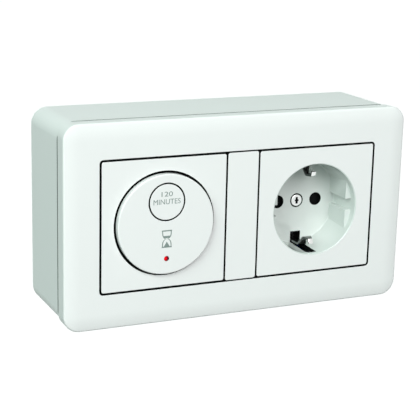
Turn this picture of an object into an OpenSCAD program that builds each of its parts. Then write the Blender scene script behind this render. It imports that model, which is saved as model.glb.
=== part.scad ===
// Push-button run-on timer and earthed round-pin socket in one surface-mounted two-gang case.
// The wall is the plane y = 0, the front faces -Y and +Z is up. The origin is the middle of the wall face.
// Each piece is drawn flat on the wall (x right, y up, z out of the wall) and then stood upright.

/* [Case] */
// Distance between the centres of the two modules
module_pitch = 71; // [69:0.5:80]
// Height of the cover frame, and its width past one module
frame_side = 87; // [85:0.5:95]
// Depth of the surface box from the wall to its front edge
box_depth = 36.5; // [35:0.5:50]
// Depth of the cover frame from the box edge to the module plane
frame_depth = 10; // [9.5:0.25:13]
// Radius of the frame corners, and width of its domed border
frame_corner = 7; // [5:0.25:9]
// Fall of the domed border from the flat front to its shoulder
frame_fall = 0.8; // [0.4:0.1:1.2]
// Radius of the shoulder edge
frame_edge = 0.6; // [0.3:0.05:0.9]
// Thickness of the frame rim
frame_wall = 2.2; // [1.8:0.1:2.6]
// Thickness of the frame front
frame_panel = 3; // [2.6:0.1:3.4]
// Overhang of the frame past the box, on each side
box_overhang = 0.5; // [0.3:0.1:1]
// Radius of the box corners
box_corner = 6.4; // [5:0.1:8]
// Thickness of the box sides
box_wall = 2.4; // [1.8:0.1:3]
// Thickness of the box back
box_back = 2.5; // [2:0.1:3]
// Radius of the wall fixing holes
fixing_r = 2.25; // [1.75:0.05:2.75]
// Distance between the fixing holes across the wall
fixing_pitch_x = 120; // [110:1:124]
// Distance between the fixing holes up the wall
fixing_pitch_y = 60; // [54:1:66]
// Width of the cable entry in the back
entry_w = 32; // [20:1:40]
// Height of the cable entry in the back
entry_h = 18; // [12:0.5:22]
// Height of the cable entry above the middle
entry_up = 20; // [14:0.5:26]
// Distance between the two device screws of a module
device_pitch = 60; // [58:0.5:61]
// Radius of the device screw shanks
device_screw_r = 1.5; // [1.2:0.05:1.75]

/* [Module plates] */
// Clear opening of the frame for one module
window = 56.6; // [56:0.1:58]
// Gap round the timer plate
timer_gap = 0.65; // [0.3:0.05:0.9]
// Gap round the socket plate
socket_gap = 0.55; // [0.3:0.05:0.9]
// Gap at the ends of the blank strip
strip_gap = 0.3; // [0.2:0.05:0.6]
// Thickness of the plates and of the blank strip
plate_t = 2.6; // [2.2:0.1:3]
// Radius of the plate corners
plate_corner = 1; // [0.6:0.1:2]
// Radius of the plate edges
plate_edge = 0.3; // [0.1:0.05:0.5]
// Thickness of the metal support rings
ring_t = 1.2; // [0.8:0.1:1.6]

/* [Timer] */
// Radius of the raised disc
disc_r = 21.6; // [20.5:0.1:21.9]
// Gap round the disc
disc_gap = 0.65; // [0.4:0.05:0.9]
// Height of the disc over the module plane
disc_rise = 2.3; // [1:0.1:3]
// Radius of the disc edge
disc_edge = 0.9; // [0.3:0.05:0.95]
// Thickness of the disc face
disc_t = 1.8; // [1.4:0.1:2]
// Radius of the push button
button_r = 7.75; // [6.5:0.05:8.25]
// Gap round the push button
button_gap = 0.3; // [0.2:0.05:0.5]
// Height of the push button above the disc centre
button_up = 9.65; // [9:0.05:10.5]
// Travel of the push button
button_travel = 1.2; // [0.6:0.1:1.4]
// Radius of the button stem
stem_r = 2; // [1.6:0.05:2.2]
// Radius of the indicator lens
lens_r = 1.1; // [0.8:0.05:1.4]
// Depth of the indicator below the disc centre
lens_down = 14.55; // [13.5:0.05:15.5]
// Side of the timer housing
housing_side = 46; // [45:0.25:48]
// Depth of the timer housing behind its support ring
housing_depth = 27.5; // [26:0.25:29]
// Side of the timer lid
lid_side = 50; // [49:0.25:50.5]
// Thickness of the circuit board
board_t = 1.6; // [1:0.1:2]

/* [Socket] */
// Radius of the cup at its mouth
cup_r = 20.1; // [19.8:0.05:20.6]
// Radius of the cup at its floor
cup_floor_r = 19.4; // [19:0.05:19.7]
// Depth of the cup
cup_depth = 17.5; // [17:0.1:18]
// Thickness of the cup wall
cup_wall = 1.5; // [1.2:0.05:1.6]
// Thickness of the cup floor
cup_floor = 2.2; // [1.8:0.1:2.4]
// Distance of the guide flats from the cup axis
flat_x = 16.9; // [16.4:0.05:17.4]
// Start of the guide flats behind the module plane
flat_start = 5.5; // [4:0.1:8]
// Width of the groove in the guide flats
groove_w = 4.7; // [4:0.1:6]
// Distance between the pin holes
pin_pitch = 19; // [18.8:0.05:19.2]
// Radius of the pin holes
pin_hole_r = 2.8; // [2.6:0.05:3]
// Width of the earth clip slots
slot_w = 5; // [4.6:0.1:5.6]
// Radius of the centre screw head
screw_head_r = 2.72; // [2.4:0.02:2.9]
// Width of the socket base
base_w = 46; // [45:0.25:48]
// Height of the socket base
base_h = 44; // [43:0.25:45]
// Depth of the socket base
base_depth = 13; // [12.6:0.1:14]
// Angle through which the shutter turns
shutter_swing = 40; // [38:0.5:42]

/* [Wiring] */
// Radius of the copper conductors
conductor_r = 0.9; // [0.7:0.05:1]
// Radius of the wire insulation
insulation_r = 1.6; // [1.3:0.05:1.8]
// Radius of the wire bends, at the middle of the wire
wire_bend = 5; // [4:0.25:6]

/* [Hidden] */
$fn = 64;

// Small distances shared by many pieces
seat = 0.3;      // space left where one piece rests on another
close = 0.1;     // space left between flat faces that press together
running = 0.05;  // radial clearance of a moving fit or of a screw in its hole
cut = 1;         // how far a cutting shape runs past what it cuts

// Module centres and case sizes
timer_x = -module_pitch/2;
socket_x = module_pitch/2;
frame_w = module_pitch + frame_side;
frame_h = frame_side;
box_w = frame_w - 2*box_overhang;
box_h = frame_h - 2*box_overhang;
box_in_w = box_w - 2*box_wall;
box_in_h = box_h - 2*box_wall;
front = box_depth + frame_depth;
frame_back = box_depth + seat;
panel_back = front - frame_panel;
plate_back = front - plate_t;
window_w = module_pitch + window;
timer_plate_side = window - 2*timer_gap;
socket_plate_side = window - 2*socket_gap;
strip_left = timer_x + timer_plate_side/2 + timer_gap;
strip_right = socket_x - socket_plate_side/2 - socket_gap;
strip_h = window - 2*strip_gap;

// The ledge behind the plates, and the lip that locates the frame in the box
ledge_in = 1.6;
ledge_out = 2.2;
ledge_t = 1.5;
ledge_front = plate_back - seat;
lip_depth = 2.2;
lip_t = 1.2;
lip_w = box_in_w - 2*seat;
lip_h = box_in_h - 2*seat;
lip_corner = box_corner - box_wall - seat;

// Domed border of the frame: an arc that meets the flat front, rounded into the side
dome_r = (frame_corner*frame_corner + frame_fall*frame_fall)/(2*frame_fall);
shoulder_x = frame_corner - frame_edge;
shoulder_z = front - dome_r + sqrt(pow(dome_r - frame_edge, 2) - pow(shoulder_x, 2));
tangent_x = shoulder_x*dome_r/(dome_r - frame_edge);

// Screw posts of the box and the device screws
post_r = 3.6;
post_bore_depth = 14;
device_head_r = 2.9;
device_head_h = 1.4;
device_screw_l = 11;
knockout_r = 9;
knockout_skin = 0.9;
knockout_x = 45;

// Support rings
ring_back = box_depth;
ring_front = ring_back + ring_t;
ring_gap = 0.4;
ring_w = module_pitch - ring_gap;
ring_room = 3.8;
ring_h = lip_h - 2*lip_t - 2*ring_room;
ring_corner = 3;
ring_hole_slack = 0.4;
ring_hole_r = device_screw_r + ring_hole_slack;

// Timer lid, in front of the ring
lid_t = 1.8;
lid_back = ring_front;
lid_front = lid_back + lid_t;
lid_corner = 2;
latch_w = 5;
latch_t = 1.1;
latch_inset = 2.35;
latch_hold = 0.6;
latch_notch = 0.4;
latch_x = timer_plate_side/2 - latch_inset;
latch_tip = min(lid_side/2, latch_x - seat) - latch_hold;
latch_nose_t = 0.4;
latch_pocket = 0.8;
latch_lift = 0.2;
latch_slack = 0.2;

// Disc: a top hat held behind the timer plate
plate_hole_r = disc_r + disc_gap;
disc_front = front + disc_rise;
disc_face_back = disc_front - disc_t;
disc_wall = 1.6;
disc_flange = 2.4;
disc_flange_t = 1.3;
disc_flange_front = plate_back - seat;
disc_flange_back = disc_flange_front - disc_flange_t;
disc_rest_in = 0.8;
disc_rest_t = 1.5;
disc_rest_r = disc_r + disc_rest_in;

// Push button, its guide in the disc and its bushing in the lid
button_hole_r = button_r + button_gap;
button_guide_t = 1.5;
button_guide_l = 1.5;
button_guide_back = disc_face_back - button_guide_l;
button_face_t = 1.9;
button_under = disc_front - button_face_t;
button_wall = 1.55;
button_flange = 1.15;
button_flange_t = 1.2;
button_flange_front = button_guide_back - seat;
button_skirt_back = button_flange_front - button_flange_t;
button_edge = 0.25;
bushing_wall = 1.55;
bushing_r = stem_r + running + bushing_wall;
bushing_clear = 2.6;
bushing_front = button_under - button_travel - bushing_clear;
stem_past_lid = 0.5;
stem_tip = lid_front + stem_past_lid;
spring_slack = 0.4;
spring_in_r = bushing_r + spring_slack;
spring_wire = 1.2;

// Circuit board, switch and indicator
board_deep = 2.9;
board_front = ring_back - board_deep;
board_back = board_front - board_t;
switch_side = 6.2;
switch_low = 0.5;
switch_front = ring_front - switch_low;
plunger_r = 1.7;
plunger_tip = stem_tip - close;
well_floor = 0.5;
plunger_well = board_front + well_floor;
plunger_back = plunger_well + button_travel + close;
led_r = 1.45;
led_front = lid_back + seat;
lens_back = led_front + seat;
lens_tube_wall = 1.15;
lens_collar = 0.7;
lens_collar_t = 1.1;
lens_slack = 0.2;
lens_collar_front = disc_face_back - lens_slack;
lens_collar_back = lens_collar_front - lens_collar_t;
lens_dome = 0.45;
lens_dome_r = (lens_r*lens_r + lens_dome*lens_dome)/(2*lens_dome);

// Timer housing: a deep part above and a shallow part over the terminal block
housing_wall = 1.5;
housing_floor = 1.8;
housing_back = ring_back - housing_depth;
housing_step_down = 10;
housing_step_y = -housing_step_down;
housing_step = 11;
housing_step_z = housing_back + housing_step;
housing_flange = 2.5;
housing_flange_t = 1.5;
housing_in = housing_side/2 - housing_wall;
board_post = 3.8;
ring_grip = 2;
ring_opening = housing_side - 2*ring_grip;
board_side = 2*(housing_in - seat);
boss_out = 0.2;
boss_x = housing_side/2 + boss_out;
boss_y = 14;
boss_r = 2.3;
boss_l = 9;
housing_screw_r = 1;
housing_screw_l = 9;
housing_head_r = 1.6;
housing_head_h = 1.1;

// Terminals: a metal cage per wire, closed by a screw from the back
wire_lift = 6.6;
wire_z = housing_back + wire_lift;
clamp_pitch = 8;
clamp_count = 4;
clamp_w = 5.8;
clamp_l = 7;
clamp_wall = 0.8;
clamp_h = 8.2;
clamp_behind = 4.4;
clamp_end_t = 1.2;
clamp_head_gap = 0.6;
clamp_back = wire_z - clamp_behind;
clamp_screw_r = 1.4;
clamp_head_r = 2.3;
clamp_head_h = 1.6;
clamp_tip = wire_z - conductor_r - close;
block_w = 36;
block_back = housing_back + seat;
block_front = housing_step_z - close;
block_bottom = -housing_side/2;
block_gap = 0.4;
block_top = housing_step_y - block_gap;
clamp_inset = 5.8;
clamp_mid_y = block_bottom + clamp_inset;
pin_w = 2.4;
pin_t = 0.8;
pin_slack = 0.2;
pin_solder = 0.6;

// Cup of the socket plate and the layers behind its floor
cup_floor_front = front - cup_depth;
cup_floor_back = cup_floor_front - cup_floor;
cup_mouth_edge = 0.5;
slot_in = 14.3;
cup_clear = 0.7;
slot_out = cup_r + cup_wall + cup_clear;
slot_start = 2;
slot_front = front - slot_start;
screw_ring = 0.48;
screw_sink_r = screw_head_r + screw_ring;
screw_sink = 1.2;
screw_shank_r = 1.5;
screw_crown = 0.25;
screw_l = 12;
driver_w = 0.8;
driver_deep = 0.7;
recess_w = 1.1;
recess_l = 3;
recess_cross = 1.9;
hub_gap = 0.2;
hub_front = cup_floor_back - hub_gap;
shutter_gap = 0.4;
shutter_front = cup_floor_back - shutter_gap;
shutter_t = 2;
shutter_back = shutter_front - shutter_t;
strap_t = 0.9;
shutter_stack = 2.4;
base_front = shutter_back - shutter_stack;
base_corner = 3;
base_back = base_front - base_depth;
hub_r = 4;
shutter_hub_r = 6.5;
shutter_r = 13.2;
shutter_half = shutter_swing/2;
shutter_spring_t = 1.7;
pillar_inset = 3.5;
pillar_x = base_w/2 - pillar_inset;
pillar_y = base_h/2 - pillar_inset;
pillar_r = 3.3;
socket_ring_r = cup_r + cup_wall + cup_clear;
rivet_r = 1.5;
rivet_l = 7;
rivet_head_r = 2.6;
rivet_head_h = 0.9;

// Pin contacts and terminals of the socket
pin_r = 2.4;
sleeve_t = 0.75;
sleeve_l = 9.5;
sleeve_split = 1.2;
contact_well = 4.5;
contact_web = 0.8;
contact_floor = base_back + contact_web;
sleeve_sunk = 1;
sleeve_front = base_front - sleeve_sunk;
sleeve_back = sleeve_front - sleeve_l;
tail_w = 4.2;
socket_clamp_inset = 5;
socket_clamp_y = -base_h/2 + socket_clamp_inset;
socket_clamp_w = 7;
tail_sunk = 4.6;
tail_room = 1.4;
tail_end = 1;
tail_front = base_front - tail_sunk;
earth_screw_y = 11.5;
earth_head_r = 2.6;
earth_head_h = 1.3;
earth_screw_l = 8;
earth_bore_floor = 2;

// Earth strap: a flat bar on the base, with an end at each side that rises into the cup
strap_w = 5;
clip_w = 2.5;
strap_ring_r = 6.2;
clip_y = 18.4;
clip_run = 10.9;
clip_crest_y = 14.3;
clip_crest_back = 6.7;
clip_crest_front = 3.6;
clip_tip_y = 17.2;
clip_tip = 2.8;

// Links from the two terminals at the right of the timer to the socket
live_from = timer_x + 1.5*clamp_pitch;
neutral_from = timer_x + 0.5*clamp_pitch;
live_to = socket_x - pin_pitch/2;
neutral_to = socket_x + pin_pitch/2;
live_drop = 29;
neutral_drop = 34;
live_run_y = -live_drop;
neutral_run_y = -neutral_drop;
wire_entry = 0.8;
wire_start_y = block_bottom + wire_entry;
socket_wire_start_y = -base_h/2 + wire_entry;
wire_strip = 7.5;
conductor_start_y = wire_start_y + wire_strip;
socket_conductor_start_y = socket_wire_start_y + wire_strip;

// Colours
white_plastic = [0.93, 0.94, 0.93];
grey_plastic = [0.55, 0.57, 0.57];
black_plastic = [0.08, 0.08, 0.09];
steel = [0.72, 0.73, 0.74];
brass = [0.78, 0.66, 0.36];
copper = [0.72, 0.42, 0.25];

// Turn a drawing made flat on the wall so that it stands upright
module stand() {
    rotate([90, 0, 0]) children();
}

module at_timer() {
    translate([timer_x, 0, 0]) children();
}

module at_socket() {
    translate([socket_x, 0, 0]) children();
}

// Cylinder between two depths
module rod(r, z0, z1) {
    translate([0, 0, z0]) cylinder(h = z1 - z0, r = r);
}

// Box from one corner to the other
module cuboid(low, high) {
    translate(low) cube(high - low);
}

// Rectangle with round corners
module round_rect(w, h, r) {
    square([w - 2*r, h], center = true);
    square([w, h - 2*r], center = true);
    for (sx = [-1, 1], sy = [-1, 1])
        translate([sx*(w/2 - r), sy*(h/2 - r)]) circle(r);
}

// Block with round upright corners between two depths
module block(w, h, r, z0, z1) {
    translate([0, 0, z0]) linear_extrude(z1 - z0) round_rect(w, h, r);
}

// An edge profile, drawn from the corner centre outwards, carried round a rectangle with round corners
module rim_sweep(w, h, r) {
    for (mx = [0, 1], my = [0, 1])
        mirror([mx, 0, 0]) mirror([0, my, 0])
            translate([w/2 - r, h/2 - r, 0]) rotate_extrude(angle = 90) children();
    for (mx = [0, 1])
        mirror([mx, 0, 0]) translate([w/2 - r, 0, 0])
            rotate([90, 0, 0]) linear_extrude(h - 2*r, center = true) children();
    for (my = [0, 1])
        mirror([0, my, 0]) translate([0, h/2 - r, 0])
            rotate([90, 0, 90]) linear_extrude(w - 2*r, center = true) children();
}

// Plate of a given outline with a rounded front edge
module edged_plate(w, h, r, edge, z0, z1) {
    cuboid([r - w/2, r - h/2, z0], [w/2 - r, h/2 - r, z1]);
    rim_sweep(w, h, r) {
        translate([0, z0]) square([r - edge, z1 - z0]);
        translate([0, z0]) square([r, z1 - edge - z0]);
        translate([r - edge, z1 - edge]) circle(edge);
    }
}

// Screw with a flat head, a straight driver slot and its shank behind
module slot_screw(head_r, head_h, shank_r, shank_l) {
    difference() {
        rod(head_r, 0, head_h);
        translate([0, 0, head_h]) cube([2*head_r + cut, driver_w, 2*driver_deep], center = true);
    }
    rod(shank_r, -shank_l, 0);
}

// Copies at the four corners of a rectangle
module four(x, y) {
    for (sx = [-1, 1], sy = [-1, 1])
        translate([sx*x, sy*y, 0]) children();
}

// Places of the device screws of one module, left and right of its centre
module at_device_sides() {
    for (s = [-1, 1])
        translate([s*device_pitch/2, 0, 0]) children();
}

// Places of the device screws of both modules
module at_device_screws() {
    at_timer() at_device_sides() children();
    at_socket() at_device_sides() children();
}

// Flat bar bent along a line of (y, z) points, of a given thickness and width across x
module bent_bar(points, t, w) {
    for (i = [0 : len(points) - 2]) {
        a = points[i];
        b = points[i + 1];
        d = b - a;
        translate([-w/2, a[0], a[1]]) rotate([atan2(d[1], d[0]), 0, 0])
            translate([0, 0, -t/2]) cube([w, norm(d), t]);
    }
    for (i = [1 : len(points) - 1])
        translate([0, points[i][0], points[i][1]]) rotate([0, 90, 0])
            cylinder(h = w, r = t/2, center = true);
}

// A section carried down, across and up again: two round bends and three straight runs
module u_route(x0, x1, top0, top1, run) {
    translate([x0, top0, wire_z]) rotate([90, 0, 0])
        linear_extrude(top0 - run - wire_bend) children();
    translate([x0 + wire_bend, run + wire_bend, wire_z]) rotate([0, 0, 180])
        rotate_extrude(angle = 90) translate([wire_bend, 0]) children();
    translate([x0 + wire_bend, run, wire_z]) rotate([90, 0, 90])
        linear_extrude(x1 - x0 - 2*wire_bend) children();
    translate([x1 - wire_bend, run + wire_bend, wire_z]) rotate([0, 0, 270])
        rotate_extrude(angle = 90) translate([wire_bend, 0]) children();
    translate([x1, top1, wire_z]) rotate([90, 0, 0])
        linear_extrude(top1 - run - wire_bend) children();
}

module insulation_section() {
    difference() {
        circle(insulation_r);
        circle(conductor_r + running);
    }
}

// Case

module surface_box() {
    color(white_plastic) stand() difference() {
        union() {
            difference() {
                block(box_w, box_h, box_corner, 0, box_depth);
                block(box_in_w, box_in_h, box_corner - box_wall, box_back, box_depth + cut);
            }
            at_device_screws() rod(post_r, box_back - close, box_depth);
        }
        four(fixing_pitch_x/2, fixing_pitch_y/2) rod(fixing_r, -cut, box_back + cut);
        cuboid([-entry_w/2, entry_up - entry_h/2, -cut], [entry_w/2, entry_up + entry_h/2, box_back + cut]);
        at_device_screws() rod(device_screw_r + running, box_depth - post_bore_depth, box_depth + cut);
        // Thin round places in the top and bottom sides, to be pushed out for a cable
        for (sx = [-1, 1], sy = [0, 1])
            mirror([0, sy, 0]) translate([sx*knockout_x, box_in_h/2 - cut, box_depth/2]) rotate([-90, 0, 0])
                cylinder(h = box_wall - knockout_skin + cut, r = knockout_r);
    }
}

// Half section of the frame border, from the corner centre to the outer side
module frame_border() {
    intersection() {
        translate([0, front - dome_r]) circle(dome_r, $fn = 128);
        translate([0, frame_back]) square([tangent_x, front - frame_back]);
    }
    translate([0, frame_back]) square([frame_corner, shoulder_z - frame_back]);
    translate([shoulder_x, shoulder_z]) circle(frame_edge);
}

module cover_frame() {
    color(white_plastic) stand() {
        difference() {
            union() {
                rim_sweep(frame_w, frame_h, frame_corner) frame_border();
                cuboid([-frame_w/2 + frame_corner, -frame_h/2 + frame_corner, frame_back],
                       [frame_w/2 - frame_corner, frame_h/2 - frame_corner, front]);
            }
            block(frame_w - 2*frame_wall, frame_h - 2*frame_wall, frame_corner - frame_wall,
                  frame_back - cut, panel_back);
            block(window_w, window, plate_corner, panel_back - cut, front + cut);
        }
        difference() {
            block(window_w + 2*ledge_out, window + 2*ledge_out, plate_corner,
                  ledge_front - ledge_t, ledge_front);
            block(window_w - 2*ledge_in, window - 2*ledge_in, plate_corner,
                  ledge_front - ledge_t - cut, front);
        }
        difference() {
            block(lip_w, lip_h, lip_corner, box_depth - lip_depth, panel_back + close);
            block(lip_w - 2*lip_t, lip_h - 2*lip_t, lip_corner - lip_t, box_depth - lip_depth - cut, front);
        }
    }
}

module filler_strip() {
    leg_w = 7;
    leg_t = 2.4;
    leg_y = 20;
    color(white_plastic) stand() translate([(strip_left + strip_right)/2, 0, 0]) {
        edged_plate(strip_right - strip_left, strip_h, plate_corner, plate_edge, plate_back, front);
        for (s = [-1, 1])
            cuboid([-leg_w/2, s*leg_y - leg_t/2, ring_front + close],
                   [leg_w/2, s*leg_y + leg_t/2, plate_back + close]);
    }
}

module device_screws() {
    color(steel) stand() at_device_screws() translate([0, 0, ring_front])
        slot_screw(device_head_r, device_head_h, device_screw_r, device_screw_l);
}

// Timer module, from the front to the back

module timer_plate() {
    color(white_plastic) stand() at_timer() {
        difference() {
            edged_plate(timer_plate_side, timer_plate_side, plate_corner, plate_edge, plate_back, front);
            rod(plate_hole_r, plate_back - cut, front + cut);
        }
        // Four latches that hook under the edge of the lid
        for (a = [0 : 90 : 270])
            rotate([0, 0, a]) {
                cuboid([latch_x, -latch_w/2, lid_back + latch_lift],
                       [latch_x + latch_t, latch_w/2, plate_back + close]);
                cuboid([latch_tip, -latch_w/2, lid_back + latch_lift],
                       [latch_x + close, latch_w/2, lid_back + latch_lift + latch_nose_t]);
            }
    }
}

module timer_disc() {
    color(white_plastic) stand() at_timer() difference() {
        union() {
            rotate_extrude() difference() {
                union() {
                    translate([0, disc_flange_back]) {
                        square([disc_r, disc_front - disc_edge - disc_flange_back]);
                        square([disc_r - disc_edge, disc_front - disc_flange_back]);
                        square([disc_r + disc_flange, disc_flange_t]);
                    }
                    translate([disc_r - disc_edge, disc_front - disc_edge]) circle(disc_edge);
                }
                translate([-cut, disc_flange_back - cut])
                    square([disc_r - disc_wall + cut, disc_face_back - disc_flange_back + cut]);
            }
            translate([0, button_up, 0])
                rod(button_hole_r + button_guide_t, button_guide_back, disc_face_back + close);
        }
        translate([0, button_up, 0]) rod(button_hole_r, button_guide_back - cut, disc_front + cut);
        translate([0, -lens_down, 0]) rod(lens_r + running, disc_face_back - cut, disc_front + cut);
    }
}

module timer_button() {
    color(white_plastic) stand() at_timer() translate([0, button_up, 0]) rotate_extrude() {
        translate([0, button_under]) square([button_r, button_face_t - button_edge]);
        translate([0, button_under]) square([button_r - button_edge, button_face_t]);
        translate([button_r - button_edge, disc_front - button_edge]) circle(button_edge);
        translate([button_r - button_wall, button_skirt_back])
            square([button_wall, button_under + close - button_skirt_back]);
        translate([button_r - button_wall, button_skirt_back])
            square([button_wall + button_flange, button_flange_t]);
        translate([0, stem_tip]) square([stem_r, button_under + close - stem_tip]);
    }
}

module button_spring() {
    color(steel) stand() at_timer() translate([0, button_up, 0]) difference() {
        rod(spring_in_r + spring_wire, lid_front + close, button_under - close);
        rod(spring_in_r, lid_front - cut, button_under + cut);
    }
}

module indicator_lens() {
    color([0.85, 0.05, 0.05]) stand() at_timer() translate([0, -lens_down, 0]) rotate_extrude() {
        translate([0, lens_back]) square([lens_r, disc_front - lens_back]);
        translate([0, lens_collar_back]) square([lens_r + lens_collar, lens_collar_t]);
        intersection() {
            translate([0, disc_front + lens_dome - lens_dome_r]) circle(lens_dome_r);
            translate([0, disc_front - close]) square([lens_r, lens_dome + close]);
        }
    }
}

module timer_lid() {
    peg = 2.6;
    peg_inset = 2.4;
    peg_at = board_side/2 - peg_inset;
    lens_bore_r = lens_r + lens_slack;
    color(grey_plastic) stand() at_timer() difference() {
        union() {
            block(lid_side, lid_side, lid_corner, lid_back, lid_front);
            four(boss_x, boss_y) rod(housing_head_r, lid_back, lid_front);
            difference() {
                rod(disc_rest_r + disc_rest_t, lid_front - close, disc_flange_back);
                rod(disc_rest_r, lid_front - cut, disc_flange_back + cut);
            }
            translate([0, button_up, 0]) rod(bushing_r, lid_front - close, bushing_front);
            translate([0, -lens_down, 0])
                rod(lens_bore_r + lens_tube_wall, lid_front - close, lens_collar_back - lens_slack);
            four(peg_at, peg_at)
                cuboid([-peg/2, -peg/2, board_front + seat], [peg/2, peg/2, lid_back + close]);
        }
        translate([0, button_up, 0]) rod(stem_r + running, lid_back - cut, bushing_front + cut);
        translate([0, -lens_down, 0]) rod(lens_bore_r, lid_back - cut, lens_collar_front);
        translate([0, -lens_down, 0]) rod(led_r + seat, lid_back - cut, led_front + lens_slack);
        four(boss_x, boss_y) rod(housing_screw_r + running, lid_back - cut, lid_front + cut);
        // Notches in the edge for the latches of the plate, with a pocket under the edge for their noses
        for (a = [0 : 90 : 270])
            rotate([0, 0, a]) {
                cuboid([latch_x - latch_notch, -latch_w/2 - seat, lid_back - cut],
                       [lid_side/2 + cut, latch_w/2 + seat, lid_front + cut]);
                cuboid([latch_tip - latch_slack, -latch_w/2 - seat, lid_back - cut],
                       [lid_side/2 + cut, latch_w/2 + seat, lid_back + latch_pocket]);
            }
        at_device_sides() rod(device_head_r + seat, lid_back - cut, lid_front + cut);
    }
}

// Square steel ring with a hole for each device screw; the opening is cut by the child
module support_ring() {
    difference() {
        block(ring_w, ring_h, ring_corner, ring_back, ring_front);
        at_device_sides() rod(ring_hole_r, ring_back - cut, ring_front + cut);
        children();
    }
}

module timer_ring() {
    color(steel) stand() at_timer() support_ring() {
        block(ring_opening, ring_opening, lid_corner, ring_back - cut, ring_front + cut);
        four(boss_x, boss_y) rod(housing_screw_r + running, ring_back - cut, ring_front + cut);
    }
}

module housing_screws() {
    color(steel) stand() at_timer() four(boss_x, boss_y) translate([0, 0, lid_front])
        slot_screw(housing_head_r, housing_head_h, housing_screw_r, housing_screw_l);
}

module timer_housing() {
    half = housing_side/2;
    flange = housing_side + 2*housing_flange;
    color(grey_plastic) stand() at_timer() difference() {
        union() {
            difference() {
                union() {
                    cuboid([-half, housing_step_y, housing_back], [half, half, ring_back]);
                    cuboid([-half, -half, housing_step_z], [half, housing_step_y + close, ring_back]);
                    difference() {
                        block(flange, flange, lid_corner, ring_back - housing_flange_t, ring_back);
                        at_device_sides()
                            rod(post_r + seat, ring_back - housing_flange_t - cut, ring_back + cut);
                    }
                    four(boss_x, boss_y) rod(boss_r, ring_back - boss_l, ring_back);
                }
                cuboid([-housing_in, housing_step_y + housing_wall, housing_back + housing_floor],
                       [housing_in, housing_in, ring_back + cut]);
                cuboid([-housing_in, -housing_in, housing_step_z + housing_floor],
                       [housing_in, housing_step_y + housing_wall + close, ring_back + cut]);
            }
            // Posts in the corners that carry the board
            for (s = [0, 1])
                mirror([s, 0, 0]) {
                    cuboid([housing_in - board_post, housing_in - board_post, housing_back + close],
                           [housing_in, housing_in + close, board_back]);
                    cuboid([housing_in - board_post, -housing_in - close, housing_step_z + close],
                           [housing_in, board_post - housing_in, board_back]);
                }
        }
        four(boss_x, boss_y)
            rod(housing_screw_r + running, lid_front - housing_screw_l - seat, ring_back + cut);
        // Slots for the terminal pins
        at_clamps() pin_slot(housing_step_z - cut, housing_step_z + housing_floor + cut);
    }
}

// Places of the timer terminals, side by side under the shallow part of the housing
module at_clamps() {
    for (i = [0 : clamp_count - 1])
        translate([(i - (clamp_count - 1)/2)*clamp_pitch, clamp_mid_y, 0]) children();
}

module pin_slot(z0, z1) {
    cuboid([-pin_w/2 - pin_slack, -pin_t/2 - pin_slack, z0], [pin_w/2 + pin_slack, pin_t/2 + pin_slack, z1]);
}

module timer_board() {
    color([0.1, 0.35, 0.2]) stand() at_timer() difference() {
        cuboid([-board_side/2, -board_side/2, board_back], [board_side/2, board_side/2, board_front]);
        at_clamps() pin_slot(board_back - cut, board_front + cut);
    }
}

module switch_body() {
    color(black_plastic) stand() at_timer() translate([0, button_up, 0]) difference() {
        cuboid([-switch_side/2, -switch_side/2, board_front], [switch_side/2, switch_side/2, switch_front]);
        rod(plunger_r + running, plunger_well, switch_front + cut);
    }
}

module switch_plunger() {
    color(grey_plastic) stand() at_timer() translate([0, button_up, 0])
        rod(plunger_r, plunger_back, plunger_tip);
}

module indicator_led() {
    dome_base = led_front - led_r;
    color([0.9, 0.25, 0.2]) stand() at_timer() translate([0, -lens_down, 0]) rotate_extrude() {
        translate([0, board_front]) square([led_r, dome_base - board_front]);
        intersection() {
            translate([0, dome_base]) circle(led_r);
            translate([0, dome_base - close]) square([led_r, led_r + close]);
        }
    }
}

module control_chip() {
    chip_w = 8;
    chip_h = 5;
    chip_t = 1.6;
    chip_left = 12;
    chip_down = 6;
    color(black_plastic) stand() at_timer() translate([-chip_left, -chip_down, board_front])
        cuboid([-chip_w/2, -chip_h/2, 0], [chip_w/2, chip_h/2, chip_t]);
}

module relay() {
    relay_w = 15.5;
    relay_l = 19;
    relay_h = 15;
    relay_gap = 2.75;
    post_gap = 1.2;
    relay_x = relay_w/2 + relay_gap - housing_in;
    relay_y = housing_in - board_post - post_gap - relay_l/2;
    color(black_plastic) stand() at_timer() translate([relay_x, relay_y, board_back - relay_h])
        cuboid([-relay_w/2, -relay_l/2, 0], [relay_w/2, relay_l/2, relay_h]);
}

module film_capacitor() {
    capacitor_w = 6;
    capacitor_l = 13;
    capacitor_h = 12;
    capacitor_x = 3;
    capacitor_y = 10;
    color([0.8, 0.65, 0.2]) stand() at_timer() translate([capacitor_x, capacitor_y, board_back - capacitor_h])
        cuboid([-capacitor_w/2, -capacitor_l/2, 0], [capacitor_w/2, capacitor_l/2, capacitor_h]);
}

module electrolytic_capacitor() {
    can_r = 4;
    can_h = 11.5;
    can_gap = 4.5;
    can_x = housing_in - can_gap - can_r;
    can_y = housing_in - can_gap - can_r;
    color([0.15, 0.2, 0.4]) stand() at_timer() translate([can_x, can_y, 0])
        rod(can_r, board_back - can_h, board_back);
}

module varistor() {
    varistor_r = 5;
    varistor_t = 4;
    varistor_gap = 3.5;
    varistor_x = housing_in - varistor_gap - varistor_r;
    varistor_y = 1;
    color([0.1, 0.3, 0.6]) stand() at_timer() translate([varistor_x, varistor_y, board_back - varistor_r])
        rotate([90, 0, 0]) cylinder(h = varistor_t, r = varistor_r, center = true);
}

module fuse() {
    fuse_r = 3.2;
    fuse_h = 7;
    fuse_x = 4;
    fuse_down = 4.4;
    color([0.35, 0.2, 0.12]) stand() at_timer() translate([fuse_x, -fuse_down, 0])
        rod(fuse_r, board_back - fuse_h, board_back);
}

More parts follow.
